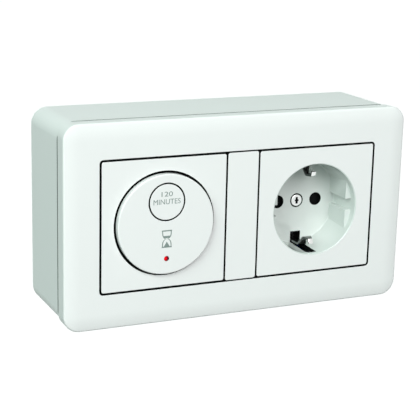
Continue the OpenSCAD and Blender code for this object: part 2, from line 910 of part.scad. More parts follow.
module terminal_block() {
    cell = clamp_w + 2*seat;
    color(black_plastic) stand() at_timer() difference() {
        cuboid([-block_w/2, block_bottom, block_back], [block_w/2, block_top, block_front]);
        at_clamps() {
            cuboid([-cell/2, block_bottom - clamp_mid_y - cut, clamp_back - seat],
                   [cell/2, clamp_l/2 + seat, block_front + cut]);
            rod(clamp_head_r + seat, block_back - cut, clamp_back);
        }
    }
}

// Metal cage open at both ends, with a screw hole in its back
module cage(w) {
    difference() {
        cuboid([-w/2, -clamp_l/2, clamp_back], [w/2, clamp_l/2, clamp_back + clamp_h]);
        cuboid([-w/2 + clamp_wall, -clamp_l/2 - cut, clamp_back + clamp_end_t],
               [w/2 - clamp_wall, clamp_l/2 + cut, clamp_back + clamp_h - clamp_end_t]);
        rod(clamp_screw_r + running, clamp_back - cut, wire_z);
    }
}

module clamp_screw() {
    translate([0, 0, clamp_back - clamp_head_gap]) mirror([0, 0, 1])
        slot_screw(clamp_head_r, clamp_head_h, clamp_screw_r, clamp_tip - clamp_back + clamp_head_gap);
}

module timer_clamps() {
    color(brass) stand() at_timer() at_clamps() difference() {
        cage(clamp_w);
        pin_slot(wire_z, block_front + cut);
    }
}

module timer_clamp_screws() {
    color(steel) stand() at_timer() at_clamps() clamp_screw();
}

module terminal_pins() {
    color(brass) stand() at_timer() at_clamps()
        cuboid([-pin_w/2, -pin_t/2, wire_z + conductor_r + close],
               [pin_w/2, pin_t/2, board_front + pin_solder]);
}

// Socket module, from the front to the back

// Hollow of the cup, without the two guide blocks at its sides
module cup_hollow() {
    difference() {
        rotate_extrude() {
            polygon([[0, cup_floor_front], [cup_floor_r, cup_floor_front], [cup_r, front],
                     [cup_r, front + cut], [0, front + cut]]);
            difference() {
                translate([cup_r - cup_mouth_edge, front - cup_mouth_edge])
                    square([2*cup_mouth_edge, cup_mouth_edge + cut]);
                translate([cup_r + cup_mouth_edge, front - cup_mouth_edge]) circle(cup_mouth_edge);
            }
        }
        for (s = [0, 1])
            mirror([s, 0, 0]) difference() {
                cuboid([flat_x, -cup_r, cup_floor_front - cut], [cup_r + cut, cup_r, front - flat_start]);
                cuboid([flat_x - cut, -groove_w/2, cup_floor_front - 2*cut],
                       [cup_r + 2*cut, groove_w/2, front - flat_start + cut]);
            }
    }
}

module socket_plate() {
    color(white_plastic) stand() at_socket() difference() {
        union() {
            edged_plate(socket_plate_side, socket_plate_side, plate_corner, plate_edge, plate_back, front);
            rod(cup_r + cup_wall, cup_floor_back, front - plate_edge);
        }
        cup_hollow();
        for (s = [-1, 1])
            translate([s*pin_pitch/2, 0, 0]) rod(pin_hole_r, cup_floor_back - cut, cup_floor_front + cut);
        rod(screw_shank_r + seat, cup_floor_back - cut, cup_floor_front);
        rod(screw_sink_r, cup_floor_front - screw_sink, cup_floor_front + cut);
        // Slots that let the earth clips through the floor and the wall
        for (s = [0, 1])
            mirror([0, s, 0])
                cuboid([-slot_w/2, slot_in, cup_floor_back - cut], [slot_w/2, slot_out, slot_front]);
    }
}

module centre_screw() {
    head_back = cup_floor_front - screw_sink;
    head_front = cup_floor_front + screw_crown;
    color(steel) stand() at_socket() difference() {
        union() {
            rod(screw_head_r, head_back, head_front);
            rod(screw_shank_r, head_back - screw_l, head_back + close);
        }
        // A driver recess with a wide slot and a short one across it
        translate([0, 0, head_front]) {
            cube([recess_w, recess_l, 2*driver_deep], center = true);
            cube([recess_cross, driver_w, 2*driver_deep], center = true);
        }
    }
}

module socket_ring() {
    color(steel) stand() at_socket() support_ring() {
        rod(socket_ring_r, ring_back - cut, ring_front + cut);
        four(pillar_x, pillar_y) rod(rivet_r + running, ring_back - cut, ring_front + cut);
    }
}

module ring_rivets() {
    color(brass) stand() at_socket() four(pillar_x, pillar_y) {
        rod(rivet_head_r, ring_front, ring_front + rivet_head_h);
        rod(rivet_r, ring_front - rivet_l, ring_front + close);
    }
}

// Places of the two pin contacts
module at_pins() {
    for (s = [-1, 1])
        translate([s*pin_pitch/2, 0, 0]) children();
}

module socket_base() {
    cell = socket_clamp_w + 2*seat;
    color(black_plastic) stand() at_socket() difference() {
        union() {
            block(base_w, base_h, base_corner, base_back, base_front);
            four(pillar_x, pillar_y) rod(pillar_r, base_front - close, ring_back);
            rod(hub_r, base_front - close, hub_front);
        }
        rod(screw_shank_r + running, cup_floor_front - screw_sink - screw_l - seat, hub_front + cut);
        four(pillar_x, pillar_y) rod(rivet_r + running, ring_front - rivet_l - seat, ring_back + cut);
        translate([0, earth_screw_y, 0])
            rod(clamp_screw_r + running, base_back + earth_bore_floor, base_front + cut);
        at_pins() {
            cuboid([-contact_well, -contact_well, contact_floor],
                   [contact_well, contact_well, base_front + cut]);
            // Terminal cell, open at the bottom, with a way in for the contact tail and for the screw
            cuboid([-cell/2, -base_h/2 - cut, clamp_back - seat],
                   [cell/2, socket_clamp_y + clamp_l/2 + seat, clamp_back + clamp_h + seat]);
            cuboid([-tail_w/2 - seat, socket_clamp_y, tail_front - tail_room],
                   [tail_w/2 + seat, 0, tail_front + seat]);
            translate([0, socket_clamp_y, 0]) rod(clamp_head_r + seat, base_back - cut, clamp_back);
        }
    }
}

module shutter() {
    color(black_plastic) stand() at_socket() difference() {
        union() {
            rod(shutter_hub_r, shutter_back, shutter_front);
            for (s = [0, 1])
                mirror([s, 0, 0]) intersection() {
                    rod(shutter_r, shutter_back, shutter_front);
                    translate([0, 0, shutter_back - cut]) linear_extrude(shutter_t + 2*cut)
                        polygon([[0, 0], 2*shutter_r*[cos(shutter_half), -sin(shutter_half)],
                                 2*shutter_r*[cos(shutter_half), sin(shutter_half)]]);
                }
        }
        rod(hub_r + running, shutter_back - cut, shutter_front + cut);
    }
}

module shutter_spring() {
    color(steel) stand() at_socket() difference() {
        rod(hub_r + seat + shutter_spring_t, base_front + strap_t + close, shutter_back - close);
        rod(hub_r + seat, base_front, shutter_front);
    }
}

// Split sleeve for the pin, with a tail that runs down into the terminal cell
module pin_contact() {
    sleeve_r = pin_r + sleeve_t;
    tail_back = tail_front - sleeve_t;
    difference() {
        union() {
            rod(sleeve_r, sleeve_back, sleeve_front);
            cuboid([-tail_w/2, socket_clamp_y - tail_end, tail_back], [tail_w/2, -pin_r, tail_front]);
        }
        rod(pin_r + running, sleeve_back - cut, sleeve_front + cut);
        cuboid([-sleeve_split/2, 0, sleeve_back - cut], [sleeve_split/2, sleeve_r + cut, sleeve_front + cut]);
    }
}

module left_contact() {
    color(brass) stand() at_socket() translate([-pin_pitch/2, 0, 0]) pin_contact();
}

module right_contact() {
    color(brass) stand() at_socket() translate([pin_pitch/2, 0, 0]) pin_contact();
}

module earth_strap() {
    flat_mid = base_front + strap_t/2;
    clip_line = [[clip_y, flat_mid], [clip_y, front - clip_run], [clip_crest_y, front - clip_crest_back],
                 [clip_crest_y, front - clip_crest_front], [clip_tip_y, front - clip_tip]];
    color(steel) stand() at_socket() {
        difference() {
            union() {
                cuboid([-strap_w/2, -clip_y, base_front], [strap_w/2, clip_y, base_front + strap_t]);
                rod(strap_ring_r, base_front, base_front + strap_t);
            }
            rod(hub_r + hub_gap, base_front - cut, shutter_front);
            translate([0, earth_screw_y, 0]) rod(clamp_screw_r + running, base_front - cut, shutter_front);
        }
        for (s = [0, 1])
            mirror([0, s, 0]) bent_bar(clip_line, strap_t, clip_w);
    }
}

module earth_screw() {
    color(steel) stand() at_socket() translate([0, earth_screw_y, base_front + strap_t])
        slot_screw(earth_head_r, earth_head_h, clamp_screw_r, earth_screw_l);
}

module socket_clamps() {
    color(brass) stand() at_socket() at_pins() translate([0, socket_clamp_y, 0]) cage(socket_clamp_w);
}

module socket_clamp_screws() {
    color(steel) stand() at_socket() at_pins() translate([0, socket_clamp_y, 0]) clamp_screw();
}

// Links

module live_link() {
    color([0.4, 0.22, 0.1]) stand()
        u_route(live_from, live_to, wire_start_y, socket_wire_start_y, live_run_y)
            insulation_section();
}

module neutral_link() {
    color([0.1, 0.25, 0.7]) stand()
        u_route(neutral_from, neutral_to, wire_start_y, socket_wire_start_y, neutral_run_y)
            insulation_section();
}

module link_conductors() {
    color(copper) stand() {
        u_route(live_from, live_to, conductor_start_y, socket_conductor_start_y, live_run_y)
            circle(conductor_r);
        u_route(neutral_from, neutral_to, conductor_start_y, socket_conductor_start_y, neutral_run_y)
            circle(conductor_r);
    }
}

surface_box();
cover_frame();
filler_strip();
device_screws();
timer_plate();
timer_disc();
timer_button();
button_spring();
indicator_lens();
timer_lid();
timer_ring();
housing_screws();
timer_housing();
timer_board();
switch_body();
switch_plunger();
indicator_led();
control_chip();
relay();
film_capacitor();
electrolytic_capacitor();
varistor();
fuse();
terminal_block();
timer_clamps();
timer_clamp_screws();
terminal_pins();
socket_plate();
centre_screw();
socket_ring();
ring_rivets();
socket_base();
shutter();
shutter_spring();
left_contact();
right_contact();
earth_strap();
earth_screw();
socket_clamps();
socket_clamp_screws();
live_link();
neutral_link();
link_conductors();
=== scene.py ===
# %% [markdown]
# # A push-button timer and a socket in one surface box, dressed in Blender
#
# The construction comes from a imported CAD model, and this lesson gives it its looks. Each cell makes
# one piece or one finish and prints what it made. The shells that the eye rests on are rebuilt here
# with soft edges, and the pieces inside the box keep their CAD shape and get a finish of their own.

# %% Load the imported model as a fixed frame
import math

import bmesh
import bpy
from mathutils import Matrix, Vector


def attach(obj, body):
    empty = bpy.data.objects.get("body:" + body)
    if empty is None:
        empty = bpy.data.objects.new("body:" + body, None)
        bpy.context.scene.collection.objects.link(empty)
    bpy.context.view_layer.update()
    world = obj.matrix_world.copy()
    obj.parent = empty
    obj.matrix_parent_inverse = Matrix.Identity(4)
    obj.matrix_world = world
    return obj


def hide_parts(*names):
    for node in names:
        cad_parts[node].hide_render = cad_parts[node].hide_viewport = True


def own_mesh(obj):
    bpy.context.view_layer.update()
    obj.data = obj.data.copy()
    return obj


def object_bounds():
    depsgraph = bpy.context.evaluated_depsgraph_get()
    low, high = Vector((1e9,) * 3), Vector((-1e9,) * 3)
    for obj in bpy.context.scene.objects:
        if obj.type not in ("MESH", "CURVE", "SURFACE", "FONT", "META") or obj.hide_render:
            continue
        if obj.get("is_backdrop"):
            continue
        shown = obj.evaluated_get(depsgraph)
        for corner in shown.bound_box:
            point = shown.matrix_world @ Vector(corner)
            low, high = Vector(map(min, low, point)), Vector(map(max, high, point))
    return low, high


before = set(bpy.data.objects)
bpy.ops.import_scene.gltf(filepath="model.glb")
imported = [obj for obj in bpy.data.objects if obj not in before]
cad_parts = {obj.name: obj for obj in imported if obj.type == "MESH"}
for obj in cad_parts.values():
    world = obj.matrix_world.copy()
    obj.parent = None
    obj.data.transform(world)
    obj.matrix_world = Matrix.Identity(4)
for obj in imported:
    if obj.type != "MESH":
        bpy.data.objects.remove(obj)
cad_low, cad_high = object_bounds()

# %% [markdown]
# ## The drawing frame
#
# The box hangs on a wall, so every piece is easiest to draw flat on that wall: right, up and out of
# the wall, in millimetres. Blender works in metres with the wall upright. One small function turns a
# drawn point into a Blender point, and nothing else in the lesson has to think about it.

# %% Drawn millimetres to Blender metres
MM = 0.001
FRONT = 46.5        # the plane of the plates, out of the wall
TIMER_X = -35.5     # middle of the timer
SOCKET_X = 35.5     # middle of the socket


def stand(right, up, out):
    return Vector((right, -out, up)) * MM


print("front plane at y =", stand(0, 0, FRONT).y)

# %% [markdown]
# ## The camera
#
# The view is from the left and a little above. A camera can be aimed with a constraint, but a
# picture taken by hand is also rolled by a degree or so. Three axes built by cross products hold
# place, aim and roll in one matrix, so that is how this camera is set.

# %% Camera
EYE = Vector((-229.364, -514.191, 136.784)) * MM
AIM = Vector((-15.009, -46.5, 3.976)) * MM
ROLL = math.radians(1.455)
FOCAL_PIXELS = 1266.635
PICTURE_PIXELS = 420
SENSOR_WIDTH = 36    # mm

forward = (AIM - EYE).normalized()
level_right = forward.cross(Vector((0, 0, 1))).normalized()
level_up = level_right.cross(forward)
right = level_right * math.cos(ROLL) + level_up * math.sin(ROLL)
up = level_up * math.cos(ROLL) - level_right * math.sin(ROLL)

camera_data = bpy.data.cameras.new("camera")
camera_data.sensor_width = SENSOR_WIDTH
camera_data.lens = FOCAL_PIXELS / PICTURE_PIXELS * SENSOR_WIDTH
camera_data.clip_start = 0.01
camera_data.clip_end = 100
camera = bpy.data.objects.new("camera", camera_data)
scene = bpy.context.scene
scene.collection.objects.link(camera)
axes = Matrix((right, up, -forward)).transposed()
camera.matrix_world = Matrix.Translation(EYE) @ axes.to_4x4()
scene.camera = camera
print("lens", round(camera_data.lens, 2), "mm")

# %% [markdown]
# ## Light and background
#
# Two big soft boxes do the work: one high on the left, which shades the upper left of the cup and the
# underside of the raised disc, and one in front and above, which fills the faces. A third stands behind
# on the right, so that the far sides read as white too. The rest is a dim, slightly green sky. A white
# background could come from a very bright sky, but that would wash the object out. Light Path lets the
# camera and the shiny reflections see white while the object is lit by the calmer sky.

# %% Sky, seen as white
SKY = (0.10, 0.19, 0.16)
scene.view_settings.view_transform = "Standard"
world = bpy.data.worlds.new("studio")
scene.world = world
world.use_nodes = True
nodes = world.node_tree.nodes
links = world.node_tree.links
nodes.clear()


def feed(tree, socket, value):
    """Links a socket to another one, or types a value on it."""
    if hasattr(value, "default_value"):
        tree.links.new(value, socket)
    else:
        socket.default_value = value


def calc(tree, operation, first, second):
    """One step of arithmetic on two numbers, each a socket or a value."""
    node = tree.nodes.new("ShaderNodeMath")
    node.operation = operation
    feed(tree, node.inputs[0], first)
    feed(tree, node.inputs[1], second)
    return node.outputs[0]


def seen_directly(tree):
    """A mask that is 1 for rays from the camera, from shiny surfaces and through clear ones."""
    path = tree.nodes.new("ShaderNodeLightPath").outputs
    either = calc(tree, "MAXIMUM", path["Is Camera Ray"], path["Is Glossy Ray"])
    return calc(tree, "MAXIMUM", either, path["Is Transmission Ray"])


sky = nodes.new("ShaderNodeBackground")
sky.inputs["Color"].default_value = (*SKY, 1)
white = nodes.new("ShaderNodeBackground")
white.inputs["Color"].default_value = (1, 1, 1, 1)
chosen = nodes.new("ShaderNodeMixShader")
world_out = nodes.new("ShaderNodeOutputWorld")
links.new(seen_directly(world.node_tree), chosen.inputs["Fac"])
links.new(sky.outputs[0], chosen.inputs[1])
links.new(white.outputs[0], chosen.inputs[2])
links.new(chosen.outputs[0], world_out.inputs["Surface"])
print("sky", SKY)

# %% Soft boxes
SOFT_BOX_SIZE = 1.0


def soft_box(name, place, watts, colour, glare=True):
    """A square lamp that faces the middle of the plates; without glare it isn't mirrored in anything."""
    lamp = bpy.data.lights.new(name, "AREA")
    lamp.energy = watts
    lamp.size = SOFT_BOX_SIZE
    lamp.color = colour
    obj = bpy.data.objects.new(name, lamp)
    scene.collection.objects.link(obj)
    obj.visible_glossy = glare
    obj.location = place
    obj.rotation_euler = (stand(0, 0, FRONT) - Vector(place)).to_track_quat("-Z", "Y").to_euler()
    print(name, watts, "W at", place)


soft_box("left_soft_box", (-1.1, -0.9, 0.8), 20.8, (0.90, 1.0, 0.965))
soft_box("front_soft_box", (0.0, -1.4, 0.75), 16.6, (1.0, 0.93, 0.965))
soft_box("back_soft_box", (0.7, 1.3, 0.0), 18.0, (0.97, 1.0, 0.985), glare=False)

# %% [markdown]
# ## The floor
#
# A switch like this hangs at about hand height, so the floor is a good metre below it and the shadow
# falls there. The floor is a pale matt plane. It takes light and shadow like any surface, and plain
# white is added where it is seen directly, so that it meets the white sky without a line.

# %% Floor
FLOOR_DROP = 1.1
FLOOR_HALF = 40.0
FLOOR_COLOUR = (0.3, 0.3, 0.3)

floor_mesh = bpy.data.meshes.new("floor")
corners = [(x * FLOOR_HALF, y * FLOOR_HALF, -FLOOR_DROP) for x, y in ((-1, -1), (1, -1), (1, 1), (-1, 1))]
floor_mesh.from_pydata(corners, [], [(0, 1, 2, 3)])
floor = bpy.data.objects.new("floor", floor_mesh)
scene.collection.objects.link(floor)
floor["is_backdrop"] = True

floor_paint = bpy.data.materials.new("floor_paint")
floor_paint.use_nodes = True
nodes = floor_paint.node_tree.nodes
links = floor_paint.node_tree.links
nodes.clear()
matt = nodes.new("ShaderNodeBsdfDiffuse")
matt.inputs["Color"].default_value = (*FLOOR_COLOUR, 1)
glow = nodes.new("ShaderNodeEmission")
glow.inputs["Color"].default_value = (1, 1, 1, 1)
links.new(seen_directly(floor_paint.node_tree), glow.inputs["Strength"])
both = nodes.new("ShaderNodeAddShader")
floor_out = nodes.new("ShaderNodeOutputMaterial")
links.new(matt.outputs[0], both.inputs[0])
links.new(glow.outputs[0], both.inputs[1])
links.new(both.outputs[0], floor_out.inputs["Surface"])
floor_mesh.materials.append(floor_paint)
print("floor", FLOOR_DROP, "m below the middle of the box")

# %% [markdown]
# ## Effects that several finishes share
#
# Moulded plastic is never one flat colour: it has a faint mottle, gloss that wanders a little, and a
# very fine skin. Rolled and turned metal has fine lines and duller patches. Each effect is a node
# group with named sockets, built once and placed in every finish with its own values.

# %% Group: moulded skin
MOTTLE_SCALE, WANDER_SCALE = 120.0, 45.0    # waves in a metre


def new_group(name, inputs, outputs):
    group = bpy.data.node_groups.new(name, "ShaderNodeTree")
    for socket, kind, value in inputs:
        made = group.interface.new_socket(socket, in_out="INPUT", socket_type=kind)
        made.default_value = value
    for socket, kind in outputs:
        group.interface.new_socket(socket, in_out="OUTPUT", socket_type=kind)
    start = group.nodes.new("NodeGroupInput")
    end = group.nodes.new("NodeGroupOutput")
    return group, start.outputs, end.inputs


def noise(tree, vector, scale, detail=2.0):
    texture = tree.nodes.new("ShaderNodeTexNoise")
    texture.inputs["Detail"].default_value = detail
    feed(tree, texture.inputs["Scale"], scale)
    tree.links.new(vector, texture.inputs["Vector"])
    return texture.outputs["Fac"]


def remap(tree, value, low, high):
    """0 to 1 becomes low to high; low and high may be numbers or sockets."""
    node = tree.nodes.new("ShaderNodeMapRange")
    tree.links.new(value, node.inputs["Value"])
    feed(tree, node.inputs["To Min"], low)
    feed(tree, node.inputs["To Max"], high)
    return node.outputs["Result"]


def tint(tree, first, second, share):
    """A colour between two, each a socket or four numbers, by a share that may change."""
    node = tree.nodes.new("ShaderNodeMix")
    node.data_type = "RGBA"
    inputs = {socket.identifier: socket for socket in node.inputs}
    outputs = {socket.identifier: socket for socket in node.outputs}
    tree.links.new(share, inputs["Factor_Float"])
    feed(tree, inputs["A_Color"], first)
    feed(tree, inputs["B_Color"], second)
    return outputs["Result_Color"]


moulded_skin, skin_in, skin_out = new_group(
    "moulded_skin",
    [("Colour", "NodeSocketColor", (0.8, 0.8, 0.8, 1)),
     ("Deep Colour", "NodeSocketColor", (0.7, 0.7, 0.7, 1)),
     ("Gloss Low", "NodeSocketFloat", 0.25),
     ("Gloss High", "NodeSocketFloat", 0.4),
     ("Grain Scale", "NodeSocketFloat", 4000.0)],
    [("Colour", "NodeSocketColor"), ("Roughness", "NodeSocketFloat"), ("Height", "NodeSocketFloat")],
)
place = moulded_skin.nodes.new("ShaderNodeTexCoord").outputs["Object"]
mottle = noise(moulded_skin, place, MOTTLE_SCALE, detail=3.0)
wander = noise(moulded_skin, place, WANDER_SCALE)
grain = noise(moulded_skin, place, skin_in["Grain Scale"])
shade = tint(moulded_skin, skin_in["Colour"], skin_in["Deep Colour"], mottle)
gloss = remap(moulded_skin, wander, skin_in["Gloss Low"], skin_in["Gloss High"])
moulded_skin.links.new(shade, skin_out["Colour"])
moulded_skin.links.new(gloss, skin_out["Roughness"])
moulded_skin.links.new(grain, skin_out["Height"])
print("group", moulded_skin.name)

# %% Group: rolled metal
LINE_SCALE = (9000.0, 600.0, 600.0)    # close together across the lines, long along them
PATCH_SCALE = 700.0

rolled_metal, metal_in, metal_out = new_group(
    "rolled_metal",
    [("Bright", "NodeSocketColor", (0.8, 0.8, 0.8, 1)),
     ("Dull", "NodeSocketColor", (0.6, 0.6, 0.6, 1)),
     ("Gloss Low", "NodeSocketFloat", 0.15),
     ("Gloss High", "NodeSocketFloat", 0.35)],
    [("Colour", "NodeSocketColor"), ("Roughness", "NodeSocketFloat"), ("Height", "NodeSocketFloat")],
)
place = rolled_metal.nodes.new("ShaderNodeTexCoord").outputs["Object"]
stretch = rolled_metal.nodes.new("ShaderNodeMapping")
stretch.inputs["Scale"].default_value = LINE_SCALE
rolled_metal.links.new(place, stretch.inputs["Vector"])
lines = noise(rolled_metal, stretch.outputs["Vector"], 1.0)
patches = noise(rolled_metal, place, PATCH_SCALE, detail=4.0)
shade = tint(rolled_metal, metal_in["Bright"], metal_in["Dull"], patches)
gloss = remap(rolled_metal, patches, metal_in["Gloss Low"], metal_in["Gloss High"])
rolled_metal.links.new(shade, metal_out["Colour"])
rolled_metal.links.new(gloss, metal_out["Roughness"])
rolled_metal.links.new(lines, metal_out["Height"])
print("group", rolled_metal.name)

# %% [markdown]
# ## Finishes
#
# Every finish is one Principled shader. What changes over the surface comes from a group, and what is
# the same all over is typed on the shader itself. Plastics and metals differ only in a handful of
# values, so two short functions make them all.

# %% Finish makers
RELIEF_DEPTH = 0.02 * MM
PLASTIC_IOR = 1.5


def new_finish(name, group, values):
    """A material with a Principled shader whose colour, roughness and fine relief come from a group."""
    material = bpy.data.materials.new(name)
    material.use_nodes = True
    tree = material.node_tree
    shader = tree.nodes["Principled BSDF"]
    effect = tree.nodes.new("ShaderNodeGroup")
    effect.node_tree = group
    for socket, value in values.items():
        effect.inputs[socket].default_value = value
    tree.links.new(effect.outputs["Colour"], shader.inputs["Base Color"])
    tree.links.new(effect.outputs["Roughness"], shader.inputs["Roughness"])
    relief = tree.nodes.new("ShaderNodeBump")
    relief.inputs["Distance"].default_value = RELIEF_DEPTH
    tree.links.new(effect.outputs["Height"], relief.inputs["Height"])
    tree.links.new(relief.outputs["Normal"], shader.inputs["Normal"])
    return material, shader, relief


def plastic(name, colour, deep=0.95, gloss=(0.25, 0.4), grain=0.06, grain_scale=4000.0, shine=0.5):
    material, shader, relief = new_finish(name, moulded_skin, {
        "Colour": (*colour, 1),
        "Deep Colour": (*[c * deep for c in colour], 1),
        "Gloss Low": gloss[0],
        "Gloss High": gloss[1],
        "Grain Scale": grain_scale,
    })
    relief.inputs["Strength"].default_value = grain
    shader.inputs["IOR"].default_value = PLASTIC_IOR
    shader.inputs["Specular IOR Level"].default_value = shine
    return material


def metal(name, bright, dull=0.75, gloss=(0.18, 0.34), lines_strength=0.12):
    material, shader, relief = new_finish(name, rolled_metal, {
        "Bright": (*bright, 1),
        "Dull": (*[c * dull for c in bright], 1),
        "Gloss Low": gloss[0],
        "Gloss High": gloss[1],
    })
    relief.inputs["Strength"].default_value = lines_strength
    shader.inputs["Metallic"].default_value = 1.0
    return material


print("finish makers ready")

# %% Plastics and metals
WHITE = (0.83, 0.84, 0.83)
# painted shade: the inside of the cup is a darker, greener white than the plates, to give the shade in the
# cup
CUP_PAINTED_SHADE_COLOUR = (0.65, 0.70, 0.67)
finishes_before = len(bpy.data.materials)
white_satin = plastic("white_satin", WHITE, 0.985, (0.38, 0.42), 0.02, shine=0.05)
white_gloss = plastic("white_gloss", WHITE, 0.985, (0.12, 0.16), 0.02, shine=0.4)
cup_painted_shade = plastic("cup_painted_shade", CUP_PAINTED_SHADE_COLOUR, 0.985, (0.06, 0.09), 0.005, shine=0.7)
# painted shade: this black is painted on white walls in joints, gaps, pin holes and slots, where shade falls;
# the shutter is really black
black_and_painted_shade = plastic("black_and_painted_shade", (0.006, 0.007, 0.007), 0.6, (0.6, 0.8), 0.1, shine=0.08)
grey_moulding = plastic("grey_moulding", (0.32, 0.335, 0.34), 0.9, (0.4, 0.55), 0.15, 2500.0)
black_moulding = plastic("black_moulding", (0.02, 0.02, 0.022), 0.7, (0.35, 0.5), 0.15, 2500.0)
print_ink = plastic("print_ink", (0.21, 0.27, 0.25), 0.85, (0.45, 0.6), 0.05, 9000.0)
yellow_box = plastic("yellow_box", (0.62, 0.42, 0.08), 0.85, (0.3, 0.45), 0.08)
blue_coat = plastic("blue_coat", (0.03, 0.11, 0.36), 0.8, (0.25, 0.4), 0.2, 1500.0)
brown_box = plastic("brown_box", (0.11, 0.045, 0.02), 0.8, (0.3, 0.45), 0.1)
brown_sheath = plastic("brown_sheath", (0.14, 0.055, 0.02), 0.85, (0.3, 0.42), 0.05)
blue_sheath = plastic("blue_sheath", (0.025, 0.1, 0.46), 0.85, (0.3, 0.42), 0.05)
zinc_plate = metal("zinc_plate", (0.66, 0.68, 0.70), 0.8, (0.28, 0.42))
bright_nickel = metal("bright_nickel", (0.82, 0.83, 0.82), 0.85, (0.12, 0.24), 0.06)
painted_shade_nickel = metal("painted_shade_nickel", (0.24, 0.26, 0.255), 0.7, (0.16, 0.3), 0.08)
yellow_brass = metal("yellow_brass", (0.78, 0.58, 0.25), 0.75, (0.22, 0.4))
bare_copper = metal("bare_copper", (0.80, 0.42, 0.24), 0.7, (0.25, 0.4))
print("plastics and metals:", len(bpy.data.materials) - finishes_before)

# %% Red lens, lit diode, board and can
LENS_LIT, LENS_SHADE = -0.5, 0.6    # painted shade: the lens is painted darker from LENS_LIT to LENS_SHADE, across the timer from its middle, in mm
LENS_PAINTED_SHADE_COLOUR = (0.1, 0.0, 0.015)


def to_the_right(tree):
    """A socket that says how far to the right a point lies, in metres."""
    apart = tree.nodes.new("ShaderNodeSeparateXYZ")
    tree.links.new(tree.nodes.new("ShaderNodeTexCoord").outputs["Object"], apart.inputs[0])
    return apart.outputs["X"]


def overlay(material, colour, share):
    """Mixes a second colour into a finish, by a share that changes over the surface."""
    tree = material.node_tree
    base = tree.nodes["Principled BSDF"].inputs["Base Color"]
    ground = base.links[0].from_socket
    tree.links.new(tint(tree, ground, (*colour, 1), share), base)


# painted shade: the red lens turns dark red towards its right side, as the shaded side of its dome
red_lens = plastic("red_lens", (0.98, 0.002, 0.004), 0.8, (0.1, 0.16), 0.02, shine=0.05)
tree = red_lens.node_tree
lens_shade_share = tree.nodes.new("ShaderNodeMapRange")
lens_shade_share.inputs["From Min"].default_value = (TIMER_X + LENS_LIT) * MM
lens_shade_share.inputs["From Max"].default_value = (TIMER_X + LENS_SHADE) * MM
tree.links.new(to_the_right(tree), lens_shade_share.inputs["Value"])
overlay(red_lens, LENS_PAINTED_SHADE_COLOUR, lens_shade_share.outputs["Result"])
red_diode = plastic("red_diode", (0.7, 0.06, 0.04), 0.85, (0.12, 0.2), 0.02)


def striped(name, colour, stripe, band, pitch):
    """A plastic with bands of a second colour that run upright, so wide and so far apart."""
    material = plastic(name, colour, 0.9, (0.25, 0.4), 0.08)
    tree = material.node_tree
    tooth = calc(tree, "PINGPONG", to_the_right(tree), pitch / 2)
    inside = calc(tree, "LESS_THAN", tooth, band / 2)
    overlay(material, stripe, inside)
    return material


board_green = striped("board_green", (0.015, 0.12, 0.05), (0.03, 0.2, 0.09), 0.8 * MM, 2.4 * MM)
can_sleeve = striped("can_sleeve", (0.02, 0.03, 0.12), (0.35, 0.38, 0.42), 1.2 * MM, 8.0 * MM)
print("special finishes:", red_lens.name, red_diode.name, board_green.name, can_sleeve.name)

# %% [markdown]
# ## Building blocks for the shells
#
# A moulded shell is a stack of closed loops with a skin of quads between them. Modelling that by
# hand would mean extruding and scaling over and over; in code each loop is a row of points, and a
# soft edge is a few loops along a small arc. Flat faces with holes are filled between their loops.

# %% Loops and skins
SHARPEST = 0.02    # no corner is sharper, so that its points stay apart


def circle(radius, out, mid=(0, 0), points=96):
    turns = [2 * math.pi * i / points for i in range(points)]
    return [stand(mid[0] + radius * math.cos(a), mid[1] + radius * math.sin(a), out) for a in turns]


def rounded(width, height, corner, out, mid=(0, 0), steps=12):
    """A rectangle with round corners, the same number of points whatever its size."""
    corner = max(corner, SHARPEST)
    points = []
    for quarter, (side, level) in enumerate(((1, 1), (-1, 1), (-1, -1), (1, -1))):
        for i in range(steps + 1):
            a = math.pi / 2 * (quarter + i / steps)
            points.append(stand(
                mid[0] + side * (width / 2 - corner) + corner * math.cos(a),
                mid[1] + level * (height / 2 - corner) + corner * math.sin(a),
                out,
            ))
    return points


def arc(first, second, radius, start, stop, steps=5):
    """Points on an arc about (first, second), from start to stop in degrees."""
    angles = [math.radians(start + (stop - start) * i / steps) for i in range(steps + 1)]
    return [(first + radius * math.cos(a), second + radius * math.sin(a)) for a in angles]


def add_loops(bm, loops):
    return [[bm.verts.new(p) for p in loop] for loop in loops]


def skin(bm, loops, closed=False, capped=False, finish=0):
    """Quads between each loop and the next; closed joins the last to the first, capped fills both."""
    pairs = list(zip(loops, loops[1:]))
    if closed:
        pairs.append((loops[-1], loops[0]))
    for one, other in pairs:
        for i in range(len(one)):
            j = (i + 1) % len(one)
            bm.faces.new((one[i], one[j], other[j], other[i])).material_index = finish
    if capped:
        bm.faces.new(loops[0])
        bm.faces.new(loops[-1])


def fill(bm, loops):
    """A flat face bounded by the first loop, with the other loops as holes in it."""
    edges = []
    for loop in loops:
        for i in range(len(loop)):
            pair = (loop[i - 1], loop[i])
            edges.append(bm.edges.get(pair) or bm.edges.new(pair))
    bmesh.ops.triangle_fill(bm, use_beauty=True, edges=edges)


print("loops, skins and fills ready")

# %% [markdown]
# ## From a mesh to a piece
#
# A raw mesh becomes a piece in three steps: its finishes are added, its shading is set so that flat
# faces stay flat next to soft edges, and it is hung on the body it rides on while the CAD node it
# stands for is hidden. Holes and ribs are cut or added with the Boolean modifier, applied at once.

# %% Raw objects, turning, carving and dressing
SAME_POINT = 0.001 * MM


def raw(name, bm, finishes):
    bmesh.ops.recalc_face_normals(bm, faces=bm.faces)
    mesh = bpy.data.meshes.new(name)
    bm.to_mesh(mesh)
    bm.free()
    for finish in finishes:
        mesh.materials.append(finish)
    obj = bpy.data.objects.new(name, mesh)
    scene.collection.objects.link(obj)
    return obj


def stacked(name, loops, finishes, closed=False):
    """A skin over a stack of loops, which is either joined up or filled at both ends."""
    bm = bmesh.new()
    skin(bm, add_loops(bm, loops), closed, capped=not closed)
    return raw(name, bm, finishes)


